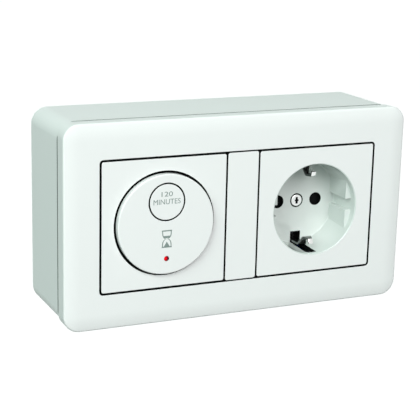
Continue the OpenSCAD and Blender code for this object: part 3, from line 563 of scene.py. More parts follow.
def turned(name, profile, mid, finishes, points=96, finish=0):
    """A profile of (radius, out) points turned about an axis that stands on the wall, closed at both ends."""
    bm = bmesh.new()
    loops = add_loops(bm, [circle(r, out, mid, points) for r, out in profile if r > 0])
    skin(bm, loops, finish=finish)
    for end, loop in ((profile[0], loops[0]), (profile[-1], loops[-1])):
        if end[0] == 0:
            tip = bm.verts.new(stand(mid[0], mid[1], end[1]))
            for i in range(len(loop)):
                bm.faces.new((loop[i - 1], loop[i], tip)).material_index = finish
        else:
            bm.faces.new(loop).material_index = finish
    return raw(name, bm, finishes)


def final_mesh(obj):
    """A mesh of the object as it is after its modifiers."""
    bpy.context.view_layer.update()
    return bpy.data.meshes.new_from_object(obj.evaluated_get(bpy.context.evaluated_depsgraph_get()))


def settle(obj):
    """The object's modifiers become part of its mesh."""
    shape = final_mesh(obj)
    obj.modifiers.clear()
    obj.data = shape


def carve(obj, tool, operation="DIFFERENCE"):
    """Cuts tool out of obj, or joins it on; new faces keep the tool's finish number."""
    step = obj.modifiers.new("carve", "BOOLEAN")
    step.operation = operation
    step.object = tool
    step.solver = "EXACT"
    step.material_mode = "INDEX"
    settle(obj)
    bpy.data.objects.remove(tool)


def brick(low, high, finishes, finish=0, edge=0.0):
    """A block from one drawn corner to the other, with its edges rounded if edge is given."""
    bm = bmesh.new()
    bmesh.ops.create_cube(bm, size=1.0)
    for v in bm.verts:
        corner = [low[i] if v.co[i] < 0 else high[i] for i in range(3)]
        v.co = stand(*corner)
    if edge:
        bmesh.ops.bevel(bm, geom=bm.edges[:], offset=edge * MM, segments=3, profile=0.5, affect="EDGES")
    for f in bm.faces:
        f.material_index = finish
    return raw("brick", bm, finishes)


def peg(radius, low, high, mid, finishes, finish=0, points=64):
    """A round rod that stands on the wall between two distances."""
    return turned("peg", [(radius, low), (radius, high)], mid, finishes, points, finish)


def soften(obj, width, segments=2, angle=40):
    """Rounds what is still sharp."""
    step = obj.modifiers.new("soften", "BEVEL")
    step.width = width * MM
    step.segments = segments
    step.limit_method = "ANGLE"
    step.angle_limit = math.radians(angle)
    step.use_clamp_overlap = False
    settle(obj)


def clean(mesh):
    """Joins points that lie on each other, which Booleans leave where surfaces only just touch."""
    bm = bmesh.new()
    bm.from_mesh(mesh)
    bmesh.ops.remove_doubles(bm, verts=bm.verts, dist=SAME_POINT)
    bmesh.ops.dissolve_degenerate(bm, edges=bm.edges, dist=SAME_POINT)
    bm.to_mesh(mesh)
    bm.free()


def dress(obj, body, node=None, sharp=35):
    mesh = obj.data
    clean(mesh)
    mesh.shade_smooth()
    mesh.set_sharp_from_angle(angle=math.radians(sharp))
    even = obj.modifiers.new("even_shading", "WEIGHTED_NORMAL")
    even.keep_sharp = True
    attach(obj, body)
    if node:
        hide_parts(node)
    print(obj.name, len(mesh.polygons), "faces on", body)
    return obj


SHELL = [white_satin, black_and_painted_shade]
FACE = [white_gloss, black_and_painted_shade, cup_painted_shade]
PAINTED_SHADE_PLACE, CUP = 1, 2    # places of the painted shade finish and of the cup's painted shade finish in these lists


def paint_shade(obj, test):
    """Paints shade: gives the second, dark finish to the faces whose middle, in drawn millimetres, passes the
    test.
    """
    for face in obj.data.polygons:
        x, y, z = face.center / MM
        if test(x, z, -y):
            face.material_index = PAINTED_SHADE_PLACE


print("tools ready")

# %% [markdown]
# ## Cover frame
#
# The frame is one moulding: a rim, a softly domed border with a round shoulder, a flat front and a
# window for the plates. It could be a cube with bevels, but a bevel gives a round edge and not the
# slow dome of the real border. So its section is drawn point by point and carried round the outline.
# The wall of the window and the back edge of the rim over the box are painted black: painted shade, so that
# the joints read as black lines.

# %% Cover frame
FRAME_W, FRAME_H, FRAME_CORNER = 158.0, 87.0, 7.0
WINDOW_W, WINDOW_H = 127.8, 56.8
FRAME_BACK, PANEL_BACK = 36.8, 43.5
DOME_R = 31.025
SHOULDER = 1.0
FRAME_WALL, RIM_EDGE = 2.2, 0.25
RIM_UNDERCUT = 0.5           # the rim leans in by this much, down to the box
RIM_TIGHT = 1.0              # its back corners are this much tighter, so they stand out over the box
WINDOW_CORNER = 1.7
LEDGE_FRONT, LEDGE_BACK = 43.6, 42.1
LEDGE_IN, LEDGE_OUT = 1.6, 2.2
LIP_W, LIP_H, LIP_CORNER = 151.6, 80.6, 3.7
LIP_T, LIP_BACK = 1.2, 34.3
JOINT_EDGE = 0.25
JOINT_START = FRONT - 0.05   # what lies behind this plane in a joint is painted black, as painted shade


def frame_loop(reach, out, tight=0.0):
    """Outline of the frame, where reach is the distance from the centre of its corners."""
    inset = FRAME_CORNER - reach
    return rounded(FRAME_W - 2 * inset, FRAME_H - 2 * inset, reach - tight, out)


def window_loop(grow, out):
    return rounded(WINDOW_W + 2 * grow, WINDOW_H + 2 * grow, WINDOW_CORNER, out)


def lip_loop(inset, out):
    return rounded(LIP_W - 2 * inset, LIP_H - 2 * inset, LIP_CORNER - inset, out)


dome_mid = FRONT - DOME_R
shoulder_mid = FRAME_CORNER - SHOULDER
shoulder_out = dome_mid + math.sqrt((DOME_R - SHOULDER) ** 2 - shoulder_mid ** 2)
dome_start = math.degrees(math.atan2(shoulder_out - dome_mid, shoulder_mid))
rim_back = FRAME_CORNER - RIM_UNDERCUT
rim = arc(rim_back - RIM_EDGE, FRAME_BACK + RIM_EDGE, RIM_EDGE, -90, 0)
border = arc(shoulder_mid, shoulder_out, SHOULDER, 0, dome_start, 10)
border += arc(0, dome_mid, DOME_R, dome_start, 90, 14)[1:]
section = [frame_loop(FRAME_CORNER - FRAME_WALL, FRAME_BACK)]
section += [frame_loop(reach, out, RIM_TIGHT) for reach, out in rim]
section += [frame_loop(reach, out) for reach, out in border]
section += [window_loop(JOINT_EDGE + u, out) for u, out in arc(0, FRONT - JOINT_EDGE, JOINT_EDGE, 90, 180)]
section += [window_loop(0, LEDGE_FRONT), window_loop(-LEDGE_IN, LEDGE_FRONT)]
section += [window_loop(-LEDGE_IN, LEDGE_BACK), window_loop(LEDGE_OUT, LEDGE_BACK)]
section += [window_loop(LEDGE_OUT, PANEL_BACK)]
section += [lip_loop(LIP_T, PANEL_BACK), lip_loop(LIP_T, LIP_BACK)]
section += [lip_loop(0, LIP_BACK), lip_loop(0, PANEL_BACK)]
section += [frame_loop(FRAME_CORNER - FRAME_WALL, PANEL_BACK)]
cover_frame = stacked("cover_frame_shell", section, SHELL, closed=True)


# painted shade: the window's wall and the rim's back edge over the box are painted black, as the shade in
# these joints
def in_frame_joint(x, y, z):
    in_window = abs(x) < WINDOW_W / 2 + JOINT_EDGE and abs(y) < WINDOW_H / 2 + JOINT_EDGE
    past_side = max(0, abs(x) - FRAME_W / 2 + FRAME_CORNER)
    past_top = max(0, abs(y) - FRAME_H / 2 + FRAME_CORNER)
    on_box = math.hypot(past_side, past_top) < rim_back
    return in_window and z < JOINT_START or on_box and z < FRAME_BACK + RIM_EDGE


paint_shade(cover_frame, in_frame_joint)
dress(cover_frame, "case", "cover_frame")

# %% [markdown]
# ## Surface box
#
# The box behind the frame is a plain open tray with screw posts, fixing holes, a cable entry and thin
# places to push out. A tray is two stacks of loops, outside and inside. The posts are joined on and
# the holes are cut with Booleans, which is how the mould adds and takes away as well.

# %% Surface box
BOX_W, BOX_H, BOX_DEPTH = 157.0, 86.0, 36.5
BOX_CORNER, MOUTH_CORNER = 7.2, 4.0   # outside and inside
BOX_WALL, BOX_FLOOR = 2.4, 2.5
BACK_EDGE, MOUTH_EDGE = 0.5, 0.3
POST_REACH, POST_R, POST_BORE, POST_DEEP = 30.0, 3.6, 1.55, 14.0
FIXING_X, FIXING_Y, FIXING_R = 60.0, 30.0, 2.25
ENTRY_LOW, ENTRY_HIGH = (-16, 11), (16, 29)
KNOCKOUT_X, KNOCKOUT_R, KNOCKOUT_SKIN = 45.0, 9.0, 0.9
KNOCKOUT_STEPS = 60
CUT = 1.0                             # how far a cutting tool reaches past what it cuts


def box_loop(inset, out):
    return rounded(BOX_W - 2 * inset, BOX_H - 2 * inset, BOX_CORNER - inset, out)


def mouth_loop(inset, out):
    """Outline of the inside, where inset is the distance from the wall."""
    reach = BOX_WALL + inset
    return rounded(BOX_W - 2 * reach, BOX_H - 2 * reach, MOUTH_CORNER - inset, out)


tray = [box_loop(BACK_EDGE - u, out) for u, out in arc(0, BACK_EDGE, BACK_EDGE, -90, 0)]
tray += [box_loop(MOUTH_EDGE - u, out) for u, out in arc(0, BOX_DEPTH - MOUTH_EDGE, MOUTH_EDGE, 0, 90)]
tray += [mouth_loop(0, BOX_DEPTH)]
tray += [mouth_loop(BACK_EDGE + u, out) for u, out in arc(0, BOX_FLOOR + BACK_EDGE, BACK_EDGE, 180, 270)]
surface_box = stacked("surface_box_shell", tray, SHELL)
for middle in (TIMER_X, SOCKET_X):
    for x in (middle - POST_REACH, middle + POST_REACH):
        carve(surface_box, peg(POST_R, BOX_FLOOR / 2, BOX_DEPTH, (x, 0), SHELL), "UNION")
        carve(surface_box, peg(POST_BORE, BOX_DEPTH - POST_DEEP, BOX_DEPTH + CUT, (x, 0), SHELL))
for x in (-FIXING_X, FIXING_X):
    for y in (-FIXING_Y, FIXING_Y):
        carve(surface_box, peg(FIXING_R, -CUT, BOX_FLOOR + CUT, (x, y), SHELL))
carve(surface_box, brick((*ENTRY_LOW, -CUT), (*ENTRY_HIGH, BOX_FLOOR + CUT), SHELL))
round_rim = arc(0, BOX_DEPTH / 2, KNOCKOUT_R, 0, 360, KNOCKOUT_STEPS)[:-1]
for x in (-KNOCKOUT_X, KNOCKOUT_X):
    for side in (-1, 1):
        ends = (side * (BOX_H / 2 - BOX_WALL - CUT), side * (BOX_H / 2 - KNOCKOUT_SKIN))
        rim = [[stand(x + across, level, out) for across, out in round_rim] for level in ends]
        carve(surface_box, stacked("knockout", rim, SHELL))
# painted shadow: the rounded mouth edge of the box is painted black, as the shadow line under the frame's rim
paint_shade(surface_box, lambda x, y, z: z > BOX_DEPTH - MOUTH_EDGE)
dress(surface_box, "case", "surface_box")

# %% [markdown]
# ## Blank strip and timer plate
#
# Between the modules sits a blank strip, and the timer has a square plate with a round hole. Both are
# flat with a fine round edge. A plain Bevel modifier would round the back edges as well, so the edge
# is drawn: a few loops from the side to the front. Their legs and latches reach back into the case.

# %% Blank strip
PLATE_BACK = 43.9
PLATE_EDGE, PLATE_CORNER = 0.25, 1.0
STRIP_W, STRIP_H = 14.4, 55.9
LEG_W, LEG_T, LEG_Y = 7.0, 2.4, 20.0
LEG_BACK, LEG_FRONT = 37.8, 44.0


def plate_sides(width, height, mid):
    """Loops from the back of a plate up its side and round its front edge."""
    rise = [(0, PLATE_BACK)]
    rise += [(PLATE_EDGE - u, out) for u, out in arc(0, FRONT - PLATE_EDGE, PLATE_EDGE, 0, 90)]
    return [rounded(width - 2 * inset, height - 2 * inset, PLATE_CORNER - inset, out, mid)
            for inset, out in rise]


# painted shade: the sides of a plate behind JOINT_START are painted black, as the shade in the joints round
# it
def in_joint(x, y, z):
    return z < JOINT_START


filler_strip = stacked("filler_strip_cap", plate_sides(STRIP_W, STRIP_H, (0, 0)), FACE)
for y in (-LEG_Y, LEG_Y):
    leg = brick((-LEG_W / 2, y - LEG_T / 2, LEG_BACK), (LEG_W / 2, y + LEG_T / 2, LEG_FRONT), FACE)
    carve(filler_strip, leg, "UNION")
paint_shade(filler_strip, in_joint)
dress(filler_strip, "case", "filler_strip")

# %% Timer plate
TIMER_SIDE = 55.3
HOLE_R, HOLE_EDGE = 22.35, 0.15
TIMER_MID = (TIMER_X, 0)
LATCH_HALF_W = 2.5
LATCH_LEG = (25.3, 26.4, 37.9, 44.0)     # nearest and furthest from the middle, back and front
LATCH_HOOK = (24.4, 25.4, 37.9, 38.3)

bm = bmesh.new()
sides = add_loops(bm, plate_sides(TIMER_SIDE, TIMER_SIDE, TIMER_MID))
skin(bm, sides)
hole = [(HOLE_R, PLATE_BACK)]
hole += arc(HOLE_R + HOLE_EDGE, FRONT - HOLE_EDGE, HOLE_EDGE, 180, 90, 3)
hole = add_loops(bm, [circle(r, out, TIMER_MID) for r, out in hole])
skin(bm, hole)
fill(bm, [sides[-1], hole[-1]])
fill(bm, [sides[0], hole[0]])
timer_plate = raw("timer_plate_face", bm, FACE)
for side, level in ((1, 0), (0, 1), (-1, 0), (0, -1)):
    half_x, half_y = LATCH_HALF_W * abs(level), LATCH_HALF_W * abs(side)
    for near, far, low, high in (LATCH_LEG, LATCH_HOOK):
        a = (TIMER_X + side * near - half_x, level * near - half_y)
        b = (TIMER_X + side * far + half_x, level * far + half_y)
        corner_low = (min(a[0], b[0]), min(a[1], b[1]), low)
        corner_high = (max(a[0], b[0]), max(a[1], b[1]), high)
        carve(timer_plate, brick(corner_low, corner_high, FACE), "UNION")
paint_shade(timer_plate, in_joint)
dress(timer_plate, "case", "timer_plate")

# %% [markdown]
# ## Raised disc
#
# The disc is a shallow cap that stands out of the plate, with a hole for the button above the middle
# and a small one for the indicator below it. Turning gives the outside, and the two holes are off the
# axis, so the front and the back are flat fills between circles.

# %% Disc
DISC_FRONT = 48.8
DISC_R, DISC_EDGE, DISC_INSIDE = 21.3, 0.5, 47.0
DISC_BORE = 20.0
FLANGE_R, FLANGE_BACK, FLANGE_FRONT = 24.0, 42.3, 43.6
COLLAR_R, COLLAR_BACK = 9.55, 45.5
BUTTON_MID = (TIMER_X, 9.65)
BUTTON_HOLE, RING_EDGE = 8.17, 0.08
RING_REACH = 0.15                # faces up to this far outside the hole count as its ring
LENS_MID = (TIMER_X + 0.2, -14.65)
LENS_HOLE, BORE_EDGE = 1.15, 0.1
GAP_DARK = FRONT - 0.5           # the disc's wall in the gap is painted black behind this plane, as painted shade
RING_DARK = DISC_FRONT - 0.03    # and the ring round the button is painted black behind this one

bm = bmesh.new()
outside = [(DISC_BORE, DISC_INSIDE), (DISC_BORE, FLANGE_BACK), (FLANGE_R, FLANGE_BACK)]
outside += [(FLANGE_R, FLANGE_FRONT), (DISC_R, FLANGE_FRONT), (DISC_R, GAP_DARK)]
outside += arc(DISC_R - DISC_EDGE, DISC_FRONT - DISC_EDGE, DISC_EDGE, 0, 90, 10)
outside = add_loops(bm, [circle(r, out, TIMER_MID, points=160) for r, out in outside])
skin(bm, outside)
collar = [(COLLAR_R, DISC_INSIDE), (COLLAR_R, COLLAR_BACK), (BUTTON_HOLE, COLLAR_BACK)]
collar += arc(BUTTON_HOLE + RING_EDGE, DISC_FRONT - RING_EDGE, RING_EDGE, 180, 90, 3)
collar = add_loops(bm, [circle(r, out, BUTTON_MID) for r, out in collar])
skin(bm, collar)
bore = [(LENS_HOLE, DISC_INSIDE)]
bore += arc(LENS_HOLE + BORE_EDGE, DISC_FRONT - BORE_EDGE, BORE_EDGE, 180, 90, 3)
bore = add_loops(bm, [circle(r, out, LENS_MID, points=48) for r, out in bore])
skin(bm, bore)
fill(bm, [outside[-1], collar[-1], bore[-1]])
fill(bm, [outside[0], collar[0], bore[0]])
timer_disc = raw("timer_disc_cap", bm, FACE)


def in_disc_joint(x, y, z):
    in_hole = math.hypot(x - BUTTON_MID[0], y - BUTTON_MID[1]) < BUTTON_HOLE + RING_REACH
    return z < GAP_DARK or in_hole and z < RING_DARK


paint_shade(timer_disc, in_disc_joint)
dress(timer_disc, "case", "timer_disc")

# %% [markdown]
# ## Push button
#
# The button is a round cap with a skirt, a flange that stops it in the disc, and a stem that presses
# the switch. Everything on it is round, so one profile is turned about its axis.

# %% Button
BUTTON_R, BUTTON_EDGE = 7.58, 0.12
STEM_R, STEM_BACK = 2.0, 40.0
CAP_BORE, CAP_INSIDE = 6.2, 46.9
STOP_R, STOP_BACK, STOP_FRONT = 8.9, 44.0, 45.2
FACE_LOOP = 4.0                  # one more loop on the flat face, so that its triangles are shorter

profile = [(0, STEM_BACK), (STEM_R, STEM_BACK), (STEM_R, CAP_INSIDE), (CAP_BORE, CAP_INSIDE)]
profile += [(CAP_BORE, STOP_BACK), (STOP_R, STOP_BACK), (STOP_R, STOP_FRONT), (BUTTON_R, STOP_FRONT)]
profile += arc(BUTTON_R - BUTTON_EDGE, DISC_FRONT - BUTTON_EDGE, BUTTON_EDGE, 0, 90, 5)
profile += [(FACE_LOOP, DISC_FRONT), (0, DISC_FRONT)]
timer_button = turned("timer_button_cap", profile, BUTTON_MID, FACE, points=128)
# painted shade: the button's skirt behind RING_DARK is painted black, as the shade in the ring round it
paint_shade(timer_button, lambda x, y, z: z < RING_DARK)
dress(timer_button, "button", "timer_button")

# %% [markdown]
# ## Prints
#
# The legend is printed in a soft grey-green. The button carries a plain number and its unit, and the
# disc carries an hourglass, the common sign for a timed thing. Text objects give the figures; they
# are turned into thin meshes, so that they ride with the button like a real print.

# %% Number and unit on the button
INK, INK_LIFT = 0.03, 0.005      # how high ink stands, and the air that keeps it clear of the face
HALF_THICK = 0.5                 # of the raw text, before it is pressed flat


def lettering(name, text, height, width, mid, body):
    curve = bpy.data.curves.new(name, "FONT")
    curve.body = text
    curve.extrude = HALF_THICK
    writer = bpy.data.objects.new(name, curve)
    scene.collection.objects.link(writer)
    mesh = final_mesh(writer)
    bpy.data.objects.remove(writer)
    across = [v.co.x for v in mesh.vertices]
    level = [v.co.y for v in mesh.vertices]
    wide = width / (max(across) - min(across))
    tall = height / (max(level) - min(level))
    for v in mesh.vertices:
        x = (v.co.x - (max(across) + min(across)) / 2) * wide
        y = (v.co.y - (max(level) + min(level)) / 2) * tall
        v.co = stand(mid[0] + x, mid[1] + y, DISC_FRONT + INK_LIFT + (v.co.z + HALF_THICK) * INK)
    mesh.materials.clear()
    mesh.materials.append(print_ink)
    obj = bpy.data.objects.new(name, mesh)
    scene.collection.objects.link(obj)
    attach(obj, body)
    print(name, len(mesh.polygons), "faces on", body)


lettering("button_number", "120", height=2.0, width=5.0, mid=(TIMER_X, 13.0), body="button")
lettering("button_unit", "MINUTES", height=2.2, width=12.0, mid=(TIMER_X, 9.8), body="button")

# %% Hourglass on the disc
GLASS_MID = (TIMER_X + 0.15, -6.1)
GLASS_HALF_W, GLASS_HALF_H = 2.25, 3.75
BAR, NECK, LINE = 0.5, 0.44, 0.42
BULB = 2.6                   # height over which the glass swells to its full width
SET_IN = 0.12                # the glass is this much narrower than its bars, on each side
SAND_LOW, SAND_HIGH = 0.2, 1.45
HAIR = 0.01                  # keeps neighbouring strokes from sharing an edge
HEAP = [(1.25, -3.24), (1.05, -2.75), (0.6, -2.2), (0.25, -1.5), (0, -1.2)]
GLASS_STEPS = 40


def glass_side(height):
    """Half width of the glass at a height from its neck."""
    rise = min(1.0, abs(height) / BULB)
    return NECK + (GLASS_HALF_W - SET_IN - NECK) * math.sqrt(1 - (1 - rise) ** 2)


def both_sides(half):
    """An outline from its right half, which runs upwards."""
    return half + [(-x, y) for x, y in reversed(half) if x > 0]


bar_low = GLASS_HALF_H - BAR
glass_top = bar_low - HAIR
levels = [glass_top * (2 * i / GLASS_STEPS - 1) for i in range(GLASS_STEPS + 1)]
shapes = []
for side in (-1, 1):
    outer = [(side * glass_side(h), h) for h in levels]
    inner = [(side * (glass_side(h) - LINE), h) for h in reversed(levels)]
    shapes.append(outer + inner)
for low, high in ((-GLASS_HALF_H, -bar_low), (bar_low, GLASS_HALF_H)):
    shapes.append(both_sides([(GLASS_HALF_W, low), (GLASS_HALF_W, high)]))
sand = [h for h in levels if SAND_LOW < h < SAND_HIGH]
shapes.append(both_sides([(glass_side(h) - LINE - HAIR, h) for h in sand]))
shapes.append(both_sides(HEAP))

bm = bmesh.new()
for shape in shapes:
    heights = (DISC_FRONT + INK_LIFT, DISC_FRONT + INK)
    ends = [[stand(GLASS_MID[0] + x, GLASS_MID[1] + y, out) for x, y in shape] for out in heights]
    skin(bm, add_loops(bm, ends), capped=True)
hourglass = raw("disc_hourglass", bm, [print_ink])
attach(hourglass, "case")
print(hourglass.name, len(hourglass.data.polygons), "faces")

# %% [markdown]
# ## Indicator lens and springs
#
# The lens is a small turned light pipe with a domed tip. A coil spring could be a curve with a
# bevel; here it is a mesh, drawn as rings of points along a screw line.

# %% Lens
LENS_R, LENS_DOME, LENS_TIP = 1.1, 0.85, 49.25
LENS_BACK = 38.3
SEAT_R, SEAT_BACK, SEAT_FRONT = 1.8, 45.7, 46.8
NEAR_TIP = 86                    # degrees; the last stretch of the dome is a fan

dome_r = (LENS_R ** 2 + LENS_DOME ** 2) / (2 * LENS_DOME)
dome_turn = math.degrees(math.asin(LENS_R / dome_r))
profile = [(0, LENS_BACK), (LENS_R, LENS_BACK), (LENS_R, SEAT_BACK), (SEAT_R, SEAT_BACK)]
profile += [(SEAT_R, SEAT_FRONT), (LENS_R, SEAT_FRONT)]
profile += arc(0, LENS_TIP - dome_r, dome_r, 90 - dome_turn, NEAR_TIP, 8)
profile += [(0, LENS_TIP)]
lens = turned("indicator_lens_dome", profile, LENS_MID, [red_lens], points=48)
dress(lens, "case", "indicator_lens")

# %% Coil springs
STEPS_A_TURN, WIRE_SIDES = 40, 10
FLAT_SHARE = 0.12                # of the turns, at each end


def coil(name, node, mid, radius, wire, low, high, turns):
    """A coil with flat end turns, from low to high out of the wall; wire is the radius of its wire."""
    steps = int(turns * STEPS_A_TURN)
    loops = []
    for i in range(steps + 1):
        along = min(1.0, max(0.0, (i / steps - FLAT_SHARE) / (1 - 2 * FLAT_SHARE)))
        a = 2 * math.pi * turns * i / steps
        out = low + wire + (high - low - 2 * wire) * along
        ring = []
        for k in range(WIRE_SIDES):
            b = 2 * math.pi * k / WIRE_SIDES
            reach = radius + wire * math.cos(b)
            x, y = mid[0] + reach * math.cos(a), mid[1] + reach * math.sin(a)
            ring.append(stand(x, y, out + wire * math.sin(b)))
        loops.append(ring)
    return dress(stacked(name, loops, [zinc_plate]), "case", node, sharp=60)


button_coil = coil("button_spring_coil", "button_spring", BUTTON_MID,
                   radius=4.6, wire=0.5, low=39.62, high=46.8, turns=6.0)
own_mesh(button_coil)
coil("shutter_spring_coil", "shutter_spring", (SOCKET_X, 0),
     radius=5.1, wire=0.2, low=23.02, high=24.28, turns=3.0)

# %% [markdown]
# ## Socket plate and cup
#
# The cup is a turned hollow with two guide blocks at its sides, pin holes, a sunk place for the screw
# and slots for the earth clips. Drawing that as one skin would be slow work, so it is made as the
# mould makes it: a plate with a round boss, and tools that cut the hollow and the holes.

# %% Socket plate
SOCKET_MID = (SOCKET_X, 0)
SOCKET_SIDE = 55.4
BOSS_R, BOSS_SUNK = 21.6, 0.3
CUP_FLOOR, CUP_BACK = 29.0, 26.8
CUP_R, CUP_FLOOR_R, CUP_ROUND = 20.1, 19.4, 0.5
BLOCK_X, BLOCK_FAR, BLOCK_TOP = 16.9, 22.5, 22.0
BLOCK_BACK, BLOCK_FRONT, BLOCK_EDGE = 27.0, 43.2, 0.3
GROOVE = 4.9
PIN_X, PIN_R, PIN_MOUTH, PIN_FLARE = 9.5, 2.8, 2.95, 0.15
SLOT_HALF_W, SLOT_NEAR, SLOT_FAR, SLOT_FRONT = 2.5, 14.3, 22.3, 44.5
SHANK_HOLE, SHANK_FRONT = 1.8, 28.5
HEAD_HOLE, HEAD_SEAT = 3.2, 27.8

socket_plate = stacked("socket_plate_cup", plate_sides(SOCKET_SIDE, SOCKET_SIDE, SOCKET_MID), FACE)
paint_shade(socket_plate, in_joint)
boss = peg(BOSS_R, CUP_BACK, FRONT - BOSS_SUNK, SOCKET_MID, FACE, points=128)
carve(socket_plate, boss, "UNION")

profile = [(0, CUP_FLOOR)]
profile += arc(CUP_FLOOR_R - CUP_ROUND, CUP_FLOOR + CUP_ROUND, CUP_ROUND, -90, 0, 4)
profile += arc(CUP_R + CUP_ROUND, FRONT - CUP_ROUND, CUP_ROUND, 180, 90, 6)
profile += [(CUP_R + CUP_ROUND, FRONT + CUT), (0, FRONT + CUT)]
hollow = turned("hollow", profile, SOCKET_MID, FACE, points=128, finish=CUP)
for side in (-1, 1):
    near, far = sorted((SOCKET_X + side * BLOCK_X, SOCKET_X + side * BLOCK_FAR))
    for low, high in ((GROOVE / 2, BLOCK_TOP), (-BLOCK_TOP, -GROOVE / 2)):
        block = brick((near, low, BLOCK_BACK), (far, high, BLOCK_FRONT), FACE, CUP, BLOCK_EDGE)
        carve(hollow, block)
carve(socket_plate, hollow)

hole_back, hole_front = CUP_BACK - CUT, CUP_FLOOR + CUT
pin_profile = [(0, hole_back), (PIN_R, hole_back), (PIN_R, CUP_FLOOR - PIN_FLARE)]
pin_profile += [(PIN_MOUTH, CUP_FLOOR), (PIN_MOUTH, hole_front), (0, hole_front)]
# painted shade: the walls of the pin holes, the clip slots and the screw's hole are painted black
for side in (-1, 1):
    pin_mid = (SOCKET_X + side * PIN_X, 0)
    carve(socket_plate, turned("pin_hole", pin_profile, pin_mid, FACE, points=64, finish=PAINTED_SHADE_PLACE))
    near, far = sorted((side * SLOT_NEAR, side * SLOT_FAR))
    low, high = (SOCKET_X - SLOT_HALF_W, near, hole_back), (SOCKET_X + SLOT_HALF_W, far, SLOT_FRONT)
    carve(socket_plate, brick(low, high, FACE, PAINTED_SHADE_PLACE))
carve(socket_plate, peg(SHANK_HOLE, hole_back, SHANK_FRONT, SOCKET_MID, FACE, PAINTED_SHADE_PLACE))
carve(socket_plate, peg(HEAD_HOLE, HEAD_SEAT, hole_front, SOCKET_MID, FACE, PAINTED_SHADE_PLACE))
dress(socket_plate, "case", "socket_plate")

# %% [markdown]
# ## Screw and earth clips
#
# The centre screw is turned with a rounded head, and its driver slots are cut. The earth contact is
# one strap of spring metal whose ends stand in the cup as two bent clips. A strap is a line with a
# thickness: the line is drawn with round bends, widened to both sides and stretched across.

# %% Centre screw
HEAD = [bright_nickel, black_and_painted_shade]
HEAD_R, HEAD_FRONT, HEAD_EDGE = 2.72, 29.25, 0.35
SHANK_R, SHANK_BACK, SHANK_BEVEL = 1.5, 15.8, 0.2
DRIVER_SLOTS = [(0.55, 1.5), (0.95, 0.4)]    # half width and half height
DRIVER_BACK = 28.55

profile = [(0, SHANK_BACK), (SHANK_R - SHANK_BEVEL, SHANK_BACK), (SHANK_R, SHANK_BACK + SHANK_BEVEL)]
profile += [(SHANK_R, HEAD_SEAT), (HEAD_R, HEAD_SEAT)]
profile += arc(HEAD_R - HEAD_EDGE, HEAD_FRONT - HEAD_EDGE, HEAD_EDGE, 0, 90, 5) + [(0, HEAD_FRONT)]
screw = turned("centre_screw_head", profile, SOCKET_MID, HEAD, points=64)
# painted shade: the walls of the driver slots are painted black
for half_w, half_h in DRIVER_SLOTS:
    low, high = (SOCKET_X - half_w, -half_h, DRIVER_BACK), (SOCKET_X + half_w, half_h, hole_front)
    carve(screw, brick(low, high, HEAD, PAINTED_SHADE_PLACE))
dress(screw, "case", "centre_screw")

# %% Earth strap
METAL = [bright_nickel, painted_shade_nickel]
STRAP_W, STRAP_T, STRAP_BACK, STRAP_END = 5.0, 0.9, 22.0, 18.4
CLIP_LINE = [(18.4, 22.1), (18.4, 35.6), (14.3, 39.8), (14.3, 42.9), (16.4, 43.5)]
CLIP_BEND, BEND_STEPS = 0.8, 8
CLIP_W, TIP_W = 4.2, 2.1
TAPER_START, TAPER_END = 40.6, 42.6   # out of the wall
FRONT_FACING = 0.6           # painted shade and reflection: faces that look out of the cup get the bright nickel, the others a dark nickel
COLLAR_OUT, COLLAR_IN = 6.2, 4.2
EARTH_BORE, EARTH_Y = 1.45, 11.5
STRAP_EDGE = 0.12


def bend_line(points, radius):
    """A line of (up, out) points with each inner corner rounded."""
    line = [Vector(points[0])]
    for before, here, after in zip(points, points[1:], points[2:]):
        here = Vector(here)
        back, ahead = (Vector(before) - here).normalized(), (Vector(after) - here).normalized()
        half = math.acos(max(-1.0, min(1.0, back.dot(ahead)))) / 2
        reach = radius / math.tan(half)
        start, stop = here + back * reach, here + ahead * reach
        centre = here + (back + ahead).normalized() * (radius / math.sin(half))
        for i in range(BEND_STEPS + 1):
            spoke = (start - centre).lerp(stop - centre, i / BEND_STEPS).normalized()
            line.append(centre + spoke * radius)
    line.append(Vector(points[-1]))
    return line


def clip(side):
    """One clip: the bent line carries a flat section that narrows towards its tip."""
    line = bend_line(CLIP_LINE, CLIP_BEND)
    sections = []
    for i, point in enumerate(line):
        ahead = (line[min(i + 1, len(line) - 1)] - line[max(i - 1, 0)]).normalized()
        across = Vector((-ahead.y, ahead.x)) * STRAP_T / 2
        share = min(1.0, max(0.0, (point.y - TAPER_START) / (TAPER_END - TAPER_START)))
        half = (CLIP_W + (TIP_W - CLIP_W) * share) / 2
        below, above = point - across, point + across
        corners = ((below, -half), (below, half), (above, half), (above, -half))
        sections.append([stand(SOCKET_X + x, side * p.x, p.y) for p, x in corners])
    return stacked("clip", sections, METAL)


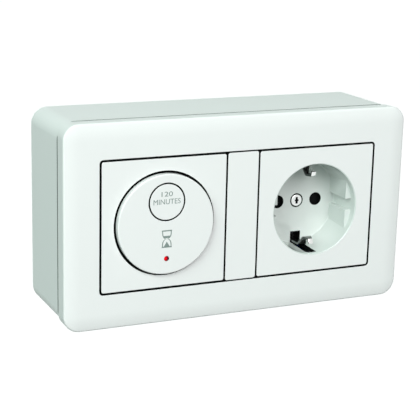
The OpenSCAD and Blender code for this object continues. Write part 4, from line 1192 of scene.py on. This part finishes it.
strap = brick((SOCKET_X - STRAP_W / 2, -STRAP_END, STRAP_BACK),
              (SOCKET_X + STRAP_W / 2, STRAP_END, STRAP_BACK + STRAP_T), METAL)
strap.name = "earth_strap_clips"
carve(strap, peg(COLLAR_OUT, STRAP_BACK, STRAP_BACK + STRAP_T, SOCKET_MID, METAL), "UNION")
for bore, middle in ((COLLAR_IN, SOCKET_MID), (EARTH_BORE, (SOCKET_X, EARTH_Y))):
    carve(strap, peg(bore, STRAP_BACK - CUT, STRAP_BACK + STRAP_T + CUT, middle, METAL))
for side in (-1, 1):
    carve(strap, clip(side), "UNION")
soften(strap, STRAP_EDGE)
# painted shade: faces that don't look out of the cup get the dark nickel, as shade and dark reflections
for face in strap.data.polygons:
    face.material_index = 0 if -face.normal.y > FRONT_FACING else PAINTED_SHADE_PLACE
dress(strap, "case", "earth_strap")

# %% [markdown]
# ## Pieces inside the box
#
# Rings, screws, the board and its parts, the terminals and the links are the right shape already, so
# they stay as the CAD made them. Each gets the finish of its own stuff in place of a flat colour.

# %% Finishes of the CAD nodes
INSIDE = {
    zinc_plate: ["device_screws", "housing_screws", "timer_ring", "socket_ring", "timer_clamp_screws",
                 "socket_clamp_screws", "earth_screw"],
    yellow_brass: ["ring_rivets", "timer_clamps", "terminal_pins", "left_contact", "right_contact",
                   "socket_clamps"],
    grey_moulding: ["timer_lid", "timer_housing", "switch_plunger"],
    black_moulding: ["switch_body", "control_chip", "relay", "terminal_block", "socket_base"],
    black_and_painted_shade: ["shutter"],
    bare_copper: ["link_conductors"],
    red_diode: ["indicator_led"],
    board_green: ["timer_board"],
    yellow_box: ["film_capacitor"],
    can_sleeve: ["electrolytic_capacitor"],
    blue_coat: ["varistor"],
    brown_box: ["fuse"],
    brown_sheath: ["live_link"],
    blue_sheath: ["neutral_link"],
}
for finish, names in INSIDE.items():
    for name in names:
        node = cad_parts[name]
        node.data.materials.clear()
        node.data.materials.append(finish)
print("CAD nodes with a finish:", sum(len(names) for names in INSIDE.values()))

# %% [markdown]
# ## Size
#
# The box of the CAD model and the box of the dressed part are printed side by side. The dressed
# part has to stay inside the CAD box.

# %% Sizes and finish
shown_low, shown_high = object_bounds()
for name, size in (("CAD", cad_high - cad_low), ("dressed", shown_high - shown_low)):
    print(name, "box", [round(x, 5) for x in size])
